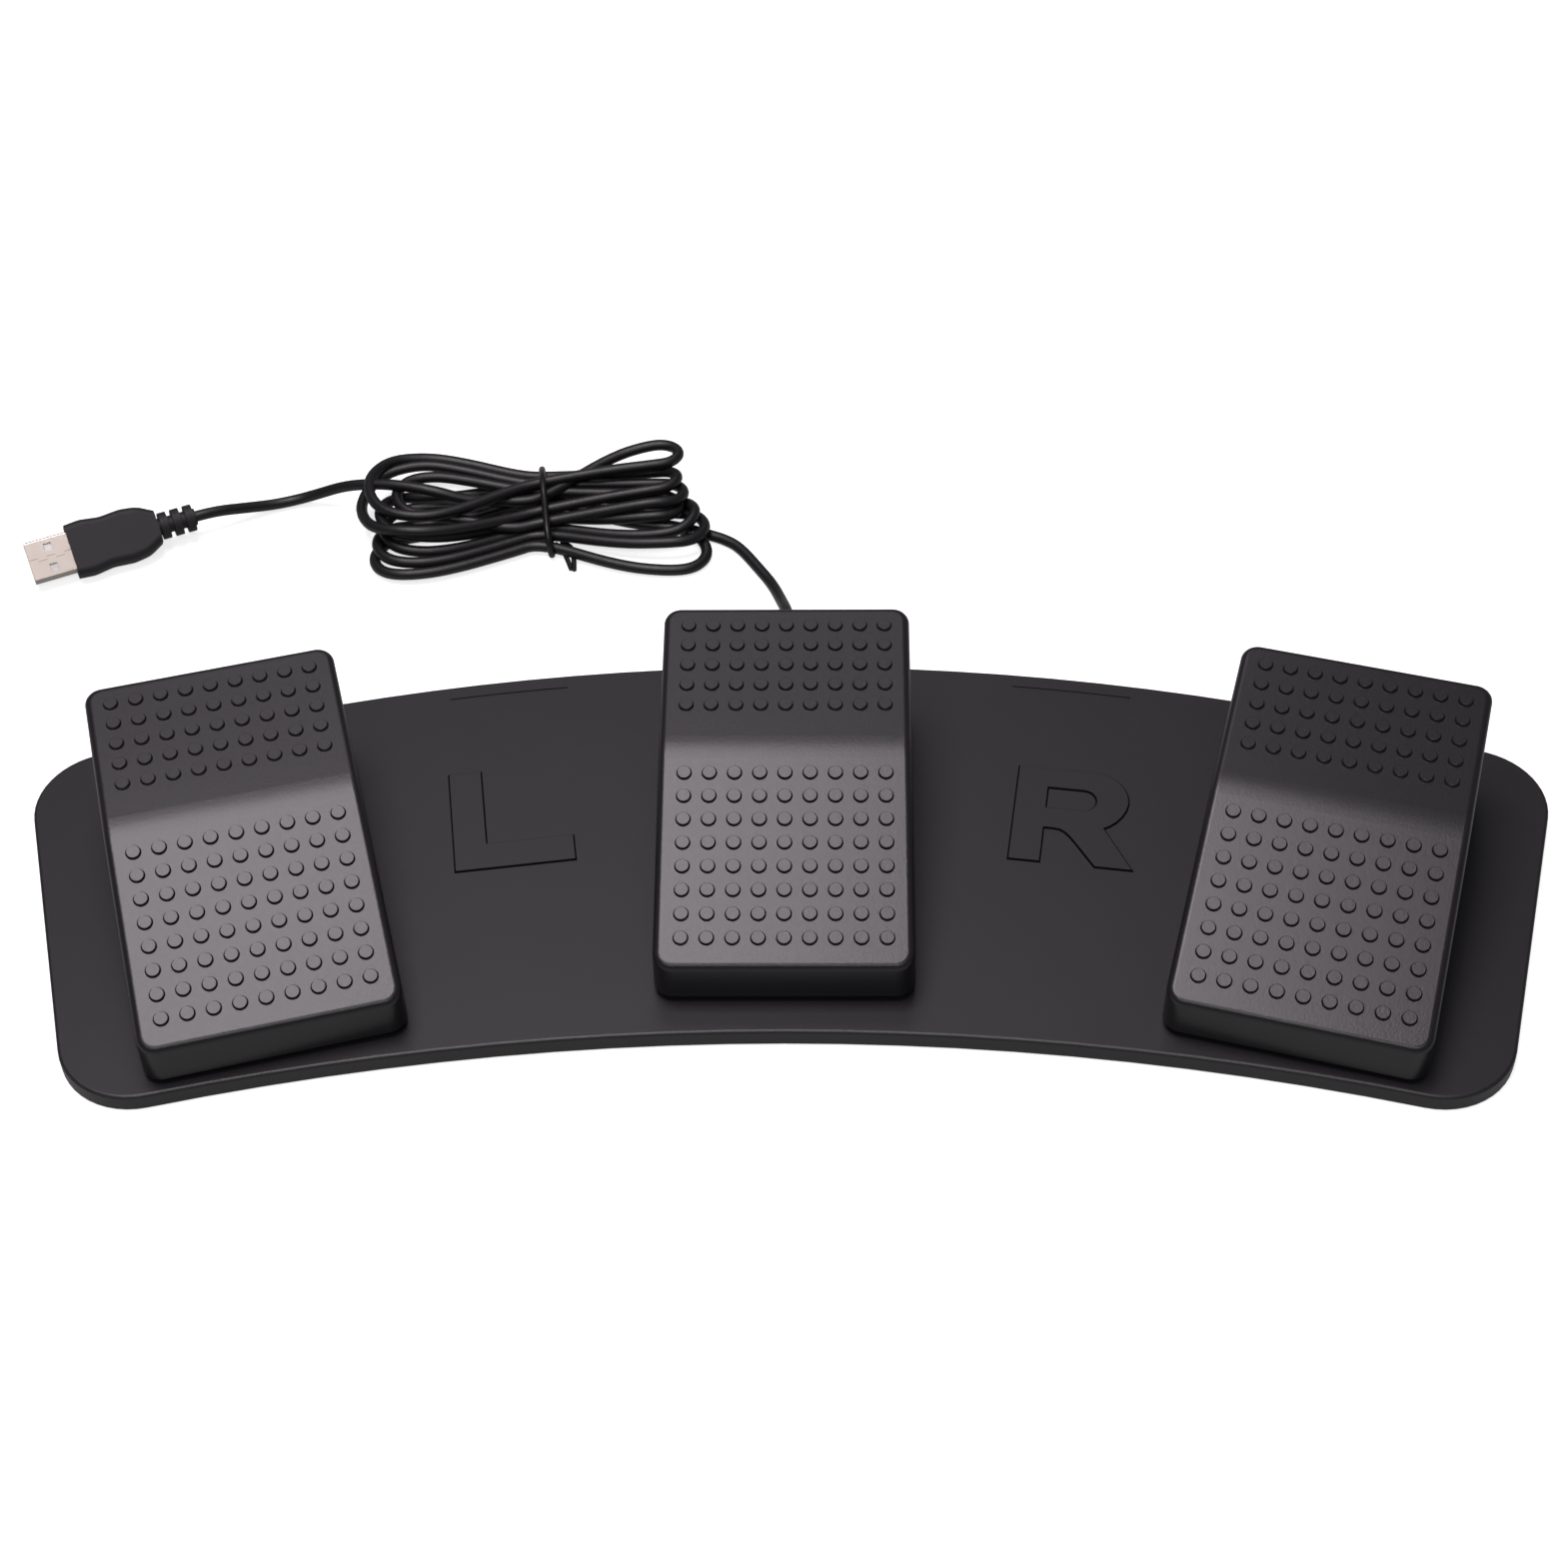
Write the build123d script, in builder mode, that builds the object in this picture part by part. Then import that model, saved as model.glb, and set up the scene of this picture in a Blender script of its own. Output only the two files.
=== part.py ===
from build123d import *
import os
from math import asin, atan, cos, hypot, radians, sin, tan

os.makedirs("parts", exist_ok=True)

# Foot switch for a computer: three hinged pedals on one curved board, with a cord and its plug.
# Millimetres, +Z up, +Y away from the user. The origin is on the floor, under the middle of the board.

# The board is a crescent between two arcs, and its ends lie parallel to the side pedals
board_back_radius = 549.0
board_front_radius = 631.5
board_depth = 129.6
board_height = 4.8
board_corner_radius = 20.0
board_edge_fillet = 0.9
board_skin = 2.0
board_rim = 3.6
board_ledge = 2.4
board_rib = 1.6
board_rib_count = 6
board_rib_fan = 20.0
end_margin = 53.4

# Places of the three pedals on the board
pedal_setback = 62.6
pedal_spread = 16.69
pedal_yaw = 15.0

# The lid under the board and its rubber feet
foot_stand = 0.6
foot_length = 36.0
foot_width = 9.0
foot_place = 49.0
lid_thickness = 1.4
lid_recess = 0.6

# A pedal rises from its heel, bends at the crease and rises less steeply to its toe
pedal_width = 66.0
heel_length = 57.4
toe_length = 45.7
pedal_corner_radius = 5.0
pedal_edge_fillet = 2.0
heel_slope = 19.0
toe_slope = 8.5
crease_height = 32.9
crease_radius = 36.0
cover_wall = 2.2
cover_draft = 0.8
heel_gap = 2.0
toe_spare_gap = 0.5

# Grip studs on the cover
stud_pitch = 6.45
stud_margin = 6.1
stud_width = 3.8
stud_height = 0.5
stud_flank = 42.0
stud_columns = 9
heel_stud_rows = 8
toe_stud_rows = 5
stud_sides = 6

# The hinge and the travel of the pedal
press_angle = 3.5
pin_setback = 9.4
pin_rise = 6.6
pin_width = 3.0
pin_clearance = 0.15
lug_radius = 3.6
lug_thickness = 3.2
lug_place = 16.5
lug_gap = 0.3

# The case inside each cover
case_gap = 0.6
case_wall = 1.8
case_floor = 1.6
case_heel_rise = 9.1
case_toe_rise = 14.2
screw_column = 24.0
screw_heel_row = 32.0
screw_toe_row = 30.0
boss_radius = 3.3
boss_rise = 8.2
screw_radius = 1.25
screw_clearance = 0.2
screw_head_radius = 2.3
screw_head_clearance = 0.2
screw_end_gap = 0.6
wire_column = 6.0
wire_row = 6.0
wire_hole_radius = 1.8
wire_entry_radius = 2.8

# Catches that hold the cover down on its case
catch_column = 17.0
catch_width = 6.0
catch_depth = 1.7
catch_height = 1.6
catch_rise = 8.0
catch_clearance = 0.3

# The return spring between case and cover
spring_place = 9.0
spring_radius = 4.5
spring_wall = 0.9
spring_foot_rise = 7.0
spring_length = 21.0
collar_radius = 5.0
spigot_radius = 2.0
spigot_length = 4.0

# The snap switch behind the hinge
switch_place = 24.0
switch_length = 20.0
switch_width = 6.4
switch_height = 10.0
switch_rise = 6.1
switch_edge = 0.6
switch_fit = 0.15
ledge_depth = 2.0
post_thickness = 3.0
post_rise = 11.6
post_width = 8.0
plunger_length = 2.9
plunger_width = 1.6
plunger_stand = 1.9
plunger_depth = 2.6
plunger_clearance = 0.2
plunger_round = 0.5
plunger_spare = 0.4
pusher_gap = 0.3
pusher_length = 8.0
pusher_width = 4.0
blade_width = 3.2
blade_thickness = 0.5
blade_length = 3.3

# The circuit board in the middle case
circuit_length = 22.0
circuit_width = 30.0
circuit_thickness = 1.6
circuit_setback = 5.9
circuit_rise = 4.0
chip_size = 7.0
chip_thickness = 1.0
socket_width = 10.0
socket_depth = 4.0
socket_height = 3.6
standoff_radius = 2.0
standoff_inset = 3.0

# The cord, its gland in the middle case and its hank
cord_width = 3.3
cord_sides = 6
gland_rise = 5.1
gland_radius = 3.1
gland_groove_radius = 2.5
gland_tip_radius = 2.2
gland_flange = 1.2
gland_clearance = 0.1
gland_reach = 23.2
notch_clearance = 1.4
lead_width = 1.2
lead_bend_radius = 2.6
groove_turns = 3
groove_reach_share = 1.2
bend_share = 0.45

# The hank lies in two layers that cross at its waist; their ends are fanned out and lie off its middle line
hank_middle = (-77.9, 141.5)
hank_rise = 1.3
hank_half_length = 31.3
hank_inner_radius = 6.0
hank_step = 4.7
hank_layer_step = 3.75
hank_half_turns = 14
hank_waist_inner = 1.2
hank_waist_step = 4.4
hank_waist_half = 6.0
hank_climb_half = 9.0
hank_lower_left = 4.0
hank_lower_right = -5.0
hank_upper_left = -5.0
hank_upper_right = 5.0
hank_upper_shorter = 3.0
hank_last_place = 2.5
hank_bend_share = 0.5
tie_width = 2.6
tie_thickness = 1.0
tie_clearance = 0.25
tie_place = 6.0
tie_tail_length = 9.0
tie_tail_width = 1.4
tie_tail_angle = 24.0

# The plug on the far end, rolled on its lower edge
plug_tail = (-176.2, 136.3, 7.35)
plug_run = 5.6
plug_heading = 204.4
plug_roll = 38.0
relief_length = 11.4
relief_neck_radius = 2.5
relief_ring_radius = 4.0
relief_rings = 3
relief_ring_share = 0.62
grip_length = 26.0
grip_width = 16.4
grip_thickness = 8.0
grip_round = 2.0
grip_bend = 9.0
shell_length = 12.4
shell_width = 12.0
shell_height = 4.5
shell_sheet = 0.35
shell_corner = 0.6
shell_window = 2.2
shell_window_place = 6.4
shell_window_spacing = 6.2
tongue_thickness = 1.9
tongue_clearance = 0.15
tongue_setback = 0.8
contact_width = 1.2
contact_pitch = 2.3
contact_length = 7.4
contact_thickness = 0.25
contact_count = 4
shell_clearance = 0.1
shell_seat = 3.0

overrun = 1.0


# Outline of the grip as shares of its length and width: narrow at the cord, full, waisted, full
grip_length_shares = (0.0, 0.17, 0.36, 0.60, 0.82, 1.0)
grip_width_shares = (0.58, 0.88, 0.96, 0.90, 1.0, 0.95)

# Heights and places worked out from the sizes above
board_bottom = foot_stand
board_top = board_bottom + board_height
lid_top = board_bottom + lid_thickness
cavity_top = board_top - board_skin
pedal_radius = board_back_radius - pedal_setback
pedal_length = heel_length + toe_length
pedal_middle = (toe_length - heel_length) / 2
crease_z = board_top + crease_height
floor_top = board_top + case_floor
pin_place = heel_length - pin_setback
pin_z = board_top + pin_rise
toe_travel = (toe_length + pin_place) * sin(radians(press_angle))
toe_gap = toe_travel + toe_spare_gap
case_width = pedal_width - 2 * (cover_wall + case_gap)
case_length = pedal_length - 2 * (cover_wall + case_gap)
case_corner = pedal_corner_radius - cover_wall
case_back = toe_length - cover_wall - case_gap
circuit_place = case_back - circuit_setback - circuit_length
gland_z = board_top + gland_rise
circuit_bottom = board_top + circuit_rise
circuit_middle = circuit_bottom + circuit_thickness / 2
switch_bottom = board_top + switch_rise
switch_top = switch_bottom + switch_height
plunger_top = switch_top + plunger_stand
cord_radius = cord_width / 2
blade_bottom = switch_bottom - blade_length


def roof(place, drop=0.0):
    """Height of the cover's top line, or of a line that runs the given depth under it."""
    slope = radians(heel_slope if place < 0 else toe_slope)
    return crease_z - drop / cos(slope) + place * tan(slope)


def mid_roof(place):
    """A height inside the cover's top wall, where what hangs from it is joined."""
    return roof(place, cover_wall / 2)


def skirt(place):
    """Height of the cover's lower rim, which rises from heel to toe to leave room for the travel."""
    return board_top + heel_gap + (toe_gap - heel_gap) * (place + heel_length) / pedal_length


def case_rim(place):
    """Height of the case's upper rim."""
    share = (place + heel_length) / pedal_length
    return board_top + case_heel_rise + (case_toe_rise - case_heel_rise) * share


# The board's outline about the centre of its back arc gives the place of that centre
end_normal = Vector(cos(radians(pedal_yaw)), sin(radians(pedal_yaw)), 0)
end_line = Vector(-sin(radians(pedal_yaw)), cos(radians(pedal_yaw)), 0)
left_pedal_spot = Vector(
    -pedal_radius * sin(radians(pedal_spread)), pedal_radius * cos(radians(pedal_spread)), 0
)
left_end = left_pedal_spot - end_normal * end_margin
reach = board_depth
left_end_back = left_end + end_line * reach
left_end_front = left_end - end_line * reach

with BuildSketch() as board_outline:
    Circle(board_back_radius)
    with Locations((0, board_back_radius - board_depth - board_front_radius)):
        Circle(board_front_radius, mode=Mode.SUBTRACT)
    with BuildLine():
        Polyline(
            (left_end_front.X, left_end_front.Y),
            (left_end_back.X, left_end_back.Y),
            (-left_end_back.X, left_end_back.Y),
            (-left_end_front.X, left_end_front.Y),
            close=True,
        )
    make_face(mode=Mode.INTERSECT)
    fillet(board_outline.vertices(), board_corner_radius)

outline_box = board_outline.sketch.bounding_box()
arc_centre_y = -(outline_box.min.Y + outline_box.max.Y) / 2
arc_centre = Location((0, arc_centre_y, 0))


def board_plane(height):
    """A level plane at the given height, centred where the board's back arc is centred."""
    return Plane((0, arc_centre_y, height))


def pedal_place(side):
    """Where a pedal's crease stands: side is -1 for the left pedal, 0 in the middle, 1 for the right."""
    angle = radians(pedal_spread) * side
    spot = (pedal_radius * sin(angle), arc_centre_y + pedal_radius * cos(angle), 0)
    return Location(spot, (0, 0, -pedal_yaw * side))


places = {"left": pedal_place(-1), "centre": pedal_place(0), "right": pedal_place(1)}
screw_spots = [
    (side * screw_column, row) for side in (-1, 1) for row in (-screw_heel_row, screw_toe_row)
]
screw_places = [place * Location((x, y, 0)) for place in places.values() for x, y in screw_spots]
foot_spots = [(0, -foot_place), (0, foot_place)]
foot_places = [place * Location((x, y, 0)) for place in places.values() for x, y in foot_spots]
wire_places = [
    places["left"] * Location((wire_column, -wire_row, 0)),
    places["centre"] * Location((-wire_column, -wire_row, 0)),
    places["centre"] * Location((wire_column, -wire_row, 0)),
    places["right"] * Location((-wire_column, -wire_row, 0)),
]
wire_radius = (wire_places[1].position - arc_centre.position).length


def at_height(spots, height):
    """The same places at another height."""
    return [Location((0, 0, height)) * spot for spot in spots]


def write(piece, label):
    """Names a finished piece and writes its file."""
    piece.label = label
    export_step(piece, f"parts/{label}.step")


def write_placed(piece, label, place):
    """Writes a copy of a piece, moved from the pedal's own axes to its place on the board."""
    with BuildPart() as placed:
        with Locations(place):
            add(piece)
    write(placed.part, label)


# Board: a moulded shell, open below, with ribs, screw bosses and a groove for the inner leads
with BuildPart() as base_plate:
    with BuildSketch(board_plane(board_bottom)):
        add(board_outline.sketch)
    extrude(amount=board_height)
    fillet(base_plate.faces().sort_by(Axis.Z)[-1].edges(), board_edge_fillet)
    with BuildSketch(board_plane(board_bottom)):
        add(board_outline.sketch)
        offset(amount=-board_rim, mode=Mode.REPLACE)
    extrude(amount=lid_thickness, mode=Mode.SUBTRACT)
    with BuildSketch(board_plane(lid_top)):
        add(board_outline.sketch)
        offset(amount=-(board_rim + board_ledge), mode=Mode.REPLACE)
        fan_start = 90 - board_rib_fan / 2
        with PolarLocations(
            pedal_radius, board_rib_count, start_angle=fan_start, angular_range=board_rib_fan
        ):
            Rectangle(board_depth, board_rib, mode=Mode.SUBTRACT)
    extrude(amount=cavity_top - lid_top, mode=Mode.SUBTRACT)
    with BuildSketch(board_plane(lid_top)):
        Circle(wire_radius + wire_entry_radius)
        Circle(wire_radius - wire_entry_radius, mode=Mode.SUBTRACT)
        with BuildLine():
            beyond = left_pedal_spot * groove_reach_share
            Polyline((0, 0), (beyond.X, beyond.Y), (-beyond.X, beyond.Y), close=True)
        make_face(mode=Mode.INTERSECT)
    extrude(amount=cavity_top - lid_top, mode=Mode.SUBTRACT)
    with Locations(*at_height(screw_places, (lid_top + cavity_top) / 2)):
        Cylinder(boss_radius, cavity_top - lid_top)
    with Locations(*at_height(screw_places, board_top)):
        Hole(screw_radius + screw_clearance, board_height)
    with Locations(*at_height(wire_places, board_top)):
        Hole(wire_entry_radius, board_skin)
write(base_plate.part, "base_plate")

# Lid: closes the board from below, with recesses for the feet and countersunk holes
with BuildPart() as bottom_lid:
    with BuildSketch(board_plane(board_bottom)):
        add(board_outline.sketch)
        offset(amount=-(board_rim + case_gap / 2), mode=Mode.REPLACE)
    extrude(amount=lid_thickness)
    with BuildSketch(Plane.XY.offset(board_bottom)):
        with Locations(*foot_places):
            RectangleRounded(foot_length + case_gap, foot_width + case_gap, foot_width / 3)
    extrude(amount=lid_recess, mode=Mode.SUBTRACT)
    with Locations(*[spot * Location((0, 0, board_bottom), (180, 0, 0)) for spot in screw_places]):
        CounterSinkHole(
            screw_radius + screw_clearance,
            screw_head_radius + screw_head_clearance,
            depth=lid_thickness,
            counter_sink_angle=90,
        )
write(bottom_lid.part, "bottom_lid")

# Six rubber feet in the recesses of the lid
with BuildPart() as rubber_feet:
    with BuildSketch():
        with Locations(*foot_places):
            RectangleRounded(foot_length, foot_width, foot_width / 3)
    extrude(amount=foot_stand + lid_recess)
    chamfer(rubber_feet.edges().group_by(Axis.Z)[0], foot_stand / 3)
write(rubber_feet.part, "rubber_feet")

# Twelve countersunk screws that join lid, board and cases
screw_top = board_top + boss_rise - screw_end_gap
screw_bottom = board_bottom + screw_clearance / 2
with BuildPart() as screw:
    with BuildSketch(Plane.XZ):
        with BuildLine():
            Polyline(
                (0, screw_bottom),
                (screw_head_radius, screw_bottom),
                (screw_radius, screw_bottom + screw_head_radius - screw_radius),
                (screw_radius, screw_top - screw_radius),
                (0, screw_top),
                close=True,
            )
        make_face()
    revolve(axis=Axis.Z)
with BuildPart() as case_screws:
    with Locations(*screw_places):
        add(screw.part)
write(case_screws.part, "case_screws")


def roof_profile(drop):
    """The region over the cover's top line, lowered by the given depth, in the pedal's long section."""
    heel_end = -heel_length - overrun
    toe_end = toe_length + overrun
    heel_rise = 1 / cos(radians(heel_slope))
    toe_rise = 1 / cos(radians(toe_slope))
    bend = drop * (heel_rise - toe_rise) / (tan(radians(heel_slope)) - tan(radians(toe_slope)))
    bend_z = crease_z - drop * heel_rise + bend * tan(radians(heel_slope))
    sky = crease_z + pedal_length
    with BuildSketch(Plane.YZ) as profile:
        with BuildLine():
            Polyline(
                (heel_end, roof(heel_end, drop)),
                (bend, bend_z),
                (toe_end, roof(toe_end, drop)),
                (toe_end, sky),
                (heel_end, sky),
                close=True,
            )
        make_face()
        fillet(profile.vertices().sort_by_distance((0, bend, bend_z))[0], crease_radius - drop)
    return profile.sketch


def wedge(inset):
    """The pedal's body with its four sides and its top set in by the given depth."""
    with BuildPart() as body:
        with BuildSketch(Plane.XY.offset(board_top)):
            with Locations((0, pedal_middle)):
                RectangleRounded(
                    pedal_width - 2 * inset, pedal_length - 2 * inset, pedal_corner_radius - inset
                )
        extrude(amount=crease_height + toe_length, taper=cover_draft)
        extrude(roof_profile(inset), amount=pedal_width, both=True, mode=Mode.SUBTRACT)
    return body.part


def hinge_lug(top_points, radius):
    """Outline of a hinge lug round the pin, reaching to the two given points."""
    with BuildSketch(Plane.YZ) as outline:
        with BuildLine():
            Polyline((-pin_place - radius, pin_z), *top_points, (-pin_place + radius, pin_z), close=True)
        make_face()
        with Locations((-pin_place, pin_z)):
            Circle(radius)
            Circle(pin_width / 2 + pin_clearance, mode=Mode.SUBTRACT)
    return outline.sketch


def stud_field(rows, plane, first_row):
    """A field of grip studs on a sloping plane, with its rows counted from the crease."""
    with BuildPart() as studs:
        with BuildSketch(plane):
            with Locations((0, first_row + (rows - 1) * stud_pitch / 2)):
                with GridLocations(stud_pitch, stud_pitch, stud_columns, rows):
                    RegularPolygon(stud_width / 2, stud_sides, rotation=90 / stud_sides)
        extrude(amount=stud_height, taper=stud_flank)
    return studs.part


def cover_piece():
    """The hollow pedal cover, with its studs, hinge lugs, switch pusher, spring seat and catches."""
    heel_long = (heel_length - pedal_edge_fillet) / cos(radians(heel_slope))
    toe_long = (toe_length - pedal_edge_fillet / 2) / cos(radians(toe_slope))
    heel_axis = (0, cos(radians(heel_slope)), sin(radians(heel_slope)))
    toe_axis = (0, cos(radians(toe_slope)), sin(radians(toe_slope)))
    heel_normal = Vector(1, 0, 0).cross(Vector(heel_axis))
    toe_normal = Vector(1, 0, 0).cross(Vector(toe_axis))
    heel_plane = Plane((0, 0, crease_z), x_dir=(1, 0, 0), z_dir=heel_normal)
    toe_plane = Plane((0, 0, crease_z), x_dir=(1, 0, 0), z_dir=toe_normal)
    with BuildPart() as cover:
        add(wedge(0))
        top_faces = cover.faces().filter_by(lambda face: face.normal_at().Z > 0.9)
        top_edges = top_faces.edges()
        rim_edges = [edge for edge in top_edges if sum(edge.is_same(other) for other in top_edges) == 1]
        fillet(rim_edges, pedal_edge_fillet)
        add(wedge(cover_wall), mode=Mode.SUBTRACT)
        with BuildSketch(Plane.YZ):
            heel_end = -heel_length - overrun
            toe_end = toe_length + overrun
            with BuildLine():
                Polyline(
                    (heel_end, 0), (toe_end, 0), (toe_end, skirt(toe_end)), (heel_end, skirt(heel_end)),
                    close=True,
                )
            make_face()
        extrude(amount=pedal_width, both=True, mode=Mode.SUBTRACT)
        add(stud_field(heel_stud_rows, heel_plane, stud_margin - heel_long))
        toe_first = toe_long - stud_margin - (toe_stud_rows - 1) * stud_pitch
        add(stud_field(toe_stud_rows, toe_plane, toe_first))
        # Hinge lugs hang from the roof, outside the lugs of the case
        lug_start = lug_place + lug_thickness + lug_gap
        lug_sides = (-pin_place - lug_radius, -pin_place + lug_radius)
        lug = hinge_lug([(end, mid_roof(end)) for end in lug_sides], lug_radius)
        for start in (lug_start, -lug_start - lug_thickness):
            extrude(lug.moved(Location((start, 0, 0))), amount=lug_thickness)
        # The pusher stands over the plunger, the spring seat over the spring
        pusher_z = plunger_top + pusher_gap
        pusher_top = mid_roof(-switch_place)
        with Locations((0, -switch_place, (pusher_z + pusher_top) / 2)):
            Box(pusher_length, pusher_width, pusher_top - pusher_z)
        seat_z = board_top + spring_foot_rise + spring_length
        seat_top = mid_roof(spring_place)
        with Locations((0, spring_place, (seat_z + seat_top) / 2)):
            Cylinder(collar_radius, seat_top - seat_z)
        with Locations((0, spring_place, seat_z - spigot_length / 2)):
            Cylinder(spigot_radius, spigot_length)
        # Catches point inward from the toe skirt
        catch_back = toe_length - cover_wall / 2
        catch_front = toe_length - cover_wall - catch_depth
        catch_z = board_top + catch_rise + catch_height / 2
        catch_middle = (catch_front + catch_back) / 2
        with Locations(*[(side * catch_column, catch_middle, catch_z) for side in (-1, 1)]):
            Box(catch_width, catch_back - catch_front, catch_height)
    return cover.part


def case_piece():
    """The tray under a cover, with hinge lugs, switch cradle, spring foot and screw bosses."""
    with BuildPart() as case:
        with BuildSketch(Plane.XY.offset(board_top)):
            with Locations((0, pedal_middle)):
                RectangleRounded(case_width, case_length, case_corner)
        extrude(amount=case_toe_rise + case_wall)
        with BuildSketch(Plane.XY.offset(floor_top)):
            with Locations((0, pedal_middle)):
                RectangleRounded(
                    case_width - 2 * case_wall, case_length - 2 * case_wall, case_corner / 2
                )
        extrude(amount=case_toe_rise + case_wall, mode=Mode.SUBTRACT)
        with BuildSketch(Plane.YZ):
            sky = case_rim(toe_length) + case_toe_rise
            with BuildLine():
                Polyline(
                    (-heel_length, case_rim(-heel_length)), (toe_length, case_rim(toe_length)),
                    (toe_length, sky), (-heel_length, sky),
                    close=True,
                )
            make_face()
        extrude(amount=pedal_width, both=True, mode=Mode.SUBTRACT)
        # Lugs for the hinge pin stand on the floor
        feet = [(-pin_place + side * lug_radius, board_top + case_floor / 2) for side in (-1, 1)]
        lug = hinge_lug(feet, lug_radius)
        for start in (lug_place, -lug_place - lug_thickness):
            extrude(lug.moved(Location((start, 0, 0))), amount=lug_thickness)
        # Two posts with a ledge cradle the switch
        post_start = switch_length / 2 + switch_fit
        for side in (-1, 1):
            post_x = side * (post_start + post_thickness / 2)
            with Locations((post_x, -switch_place, board_top + post_rise / 2)):
                Box(post_thickness, post_width, post_rise)
            ledge_x = side * (post_start - ledge_depth / 2)
            with Locations((ledge_x, -switch_place, board_top + switch_rise / 2)):
                Box(ledge_depth, post_width, switch_rise)
        # Foot and spigot of the return spring
        with Locations((0, spring_place, board_top + spring_foot_rise / 2)):
            Cylinder(collar_radius, spring_foot_rise)
        with Locations((0, spring_place, board_top + spring_foot_rise + spigot_length / 2)):
            Cylinder(spigot_radius, spigot_length)
        with Locations(*[(x, y, board_top + boss_rise / 2) for x, y in screw_spots]):
            Cylinder(boss_radius, boss_rise)
        # Windows for the catches, then the screw and wire holes
        window_top = board_top + catch_rise + catch_height + catch_clearance
        window_bottom = board_top + case_floor / 2
        window_width = catch_width + 4 * catch_clearance
        for side in (-1, 1):
            with Locations((side * catch_column, case_back, (window_top + window_bottom) / 2)):
                Box(window_width, 2 * case_wall, window_top - window_bottom, mode=Mode.SUBTRACT)
        with Locations(*[Location((x, y, board_top), (180, 0, 0)) for x, y in screw_spots]):
            Hole(screw_radius + screw_clearance / 2, boss_rise - screw_end_gap / 2)
        with Locations(*[(side * wire_column, -wire_row, floor_top) for side in (-1, 1)]):
            Hole(wire_hole_radius, case_floor)
    return case.part


# Hinge pin: one steel rod through the four lugs, held between the side walls of the case
with BuildPart() as hinge_pin:
    with BuildSketch(Plane.YZ):
        with Locations((-pin_place, pin_z)):
            Circle(pin_width / 2)
    extrude(amount=case_width / 2 - case_wall - lug_gap, both=True)
    chamfer(hinge_pin.edges().filter_by(GeomType.CIRCLE), pin_width / 8)

# Return spring, drawn as the sleeve that its coils fill
with BuildPart() as return_spring:
    with BuildSketch(Plane.XY.offset(board_top + spring_foot_rise)):
        with Locations((0, spring_place)):
            Circle(spring_radius)
            Circle(spring_radius - spring_wall, mode=Mode.SUBTRACT)
    extrude(amount=spring_length)

# Snap switch: a small block with a plunger on top and three blades below
plunger_bottom = switch_top - plunger_depth
plunger_travel = (pin_place - switch_place) * radians(press_angle)
with BuildPart() as switch_body:
    with BuildSketch(Plane.XY.offset(switch_bottom)):
        with Locations((0, -switch_place)):
            Rectangle(switch_length, switch_width)
    extrude(amount=switch_height)
    chamfer(switch_body.edges().filter_by(Axis.Z), switch_edge)
    pocket_bottom = plunger_bottom - plunger_travel - plunger_spare
    with Locations((0, -switch_place, (pocket_bottom + switch_top) / 2)):
        Box(
            plunger_length + 2 * plunger_clearance,
            plunger_width + 2 * plunger_clearance,
            switch_top - pocket_bottom,
            mode=Mode.SUBTRACT,
        )

with BuildPart() as switch_plunger:
    with BuildSketch(Plane.XY.offset(plunger_bottom)):
        with Locations((0, -switch_place)):
            Rectangle(plunger_length, plunger_width)
    extrude(amount=plunger_top - plunger_bottom)
    fillet(switch_plunger.faces().sort_by(Axis.Z)[-1].edges().filter_by(Axis.Y), plunger_round)

with BuildPart() as switch_blades:
    blade_columns = (-wire_column, 0, wire_column)
    with Locations(*[(column, -switch_place, blade_bottom + blade_length / 2) for column in blade_columns]):
        Box(blade_width, blade_thickness, blade_length)

plain_cover = cover_piece()
plain_case = case_piece()

# The middle cover is notched at its toe for the cord
with BuildPart() as notched_cover:
    add(plain_cover)
    notch_top = gland_z + gland_radius + toe_travel + notch_clearance / 2
    notch_width = 2 * (gland_radius + notch_clearance)
    with Locations((0, toe_length, (board_top + notch_top) / 2)):
        Box(notch_width, 3 * cover_wall, notch_top - board_top, mode=Mode.SUBTRACT)

# The middle case carries the circuit board on four standoffs and the gland in its toe wall
with BuildPart() as circuit_case:
    add(plain_case)
    stand_column = circuit_width / 2 - standoff_inset
    stand_rows = (circuit_place + standoff_inset, circuit_place + circuit_length - standoff_inset)
    stand_z = board_top + circuit_rise / 2
    with Locations(*[(side * stand_column, row, stand_z) for side in (-1, 1) for row in stand_rows]):
        Cylinder(standoff_radius, circuit_rise)
    with BuildSketch(Plane.XZ.offset(-case_back)):
        with Locations((0, gland_z)):
            Circle(gland_groove_radius + gland_clearance)
    extrude(amount=case_wall, mode=Mode.SUBTRACT)

covers = {"left": plain_cover, "centre": notched_cover.part, "right": plain_cover}
cases = {"left": plain_case, "centre": circuit_case.part, "right": plain_case}
for side, place in places.items():
    write_placed(covers[side], f"{side}_pedal_cover", place)
    write_placed(cases[side], f"{side}_pedal_case", place)
    write_placed(hinge_pin.part, f"{side}_hinge_pin", place)
    write_placed(return_spring.part, f"{side}_return_spring", place)
    write_placed(switch_body.part, f"{side}_switch_body", place)
    write_placed(switch_plunger.part, f"{side}_switch_plunger", place)
    write_placed(switch_blades.part, f"{side}_switch_blades", place)

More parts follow.
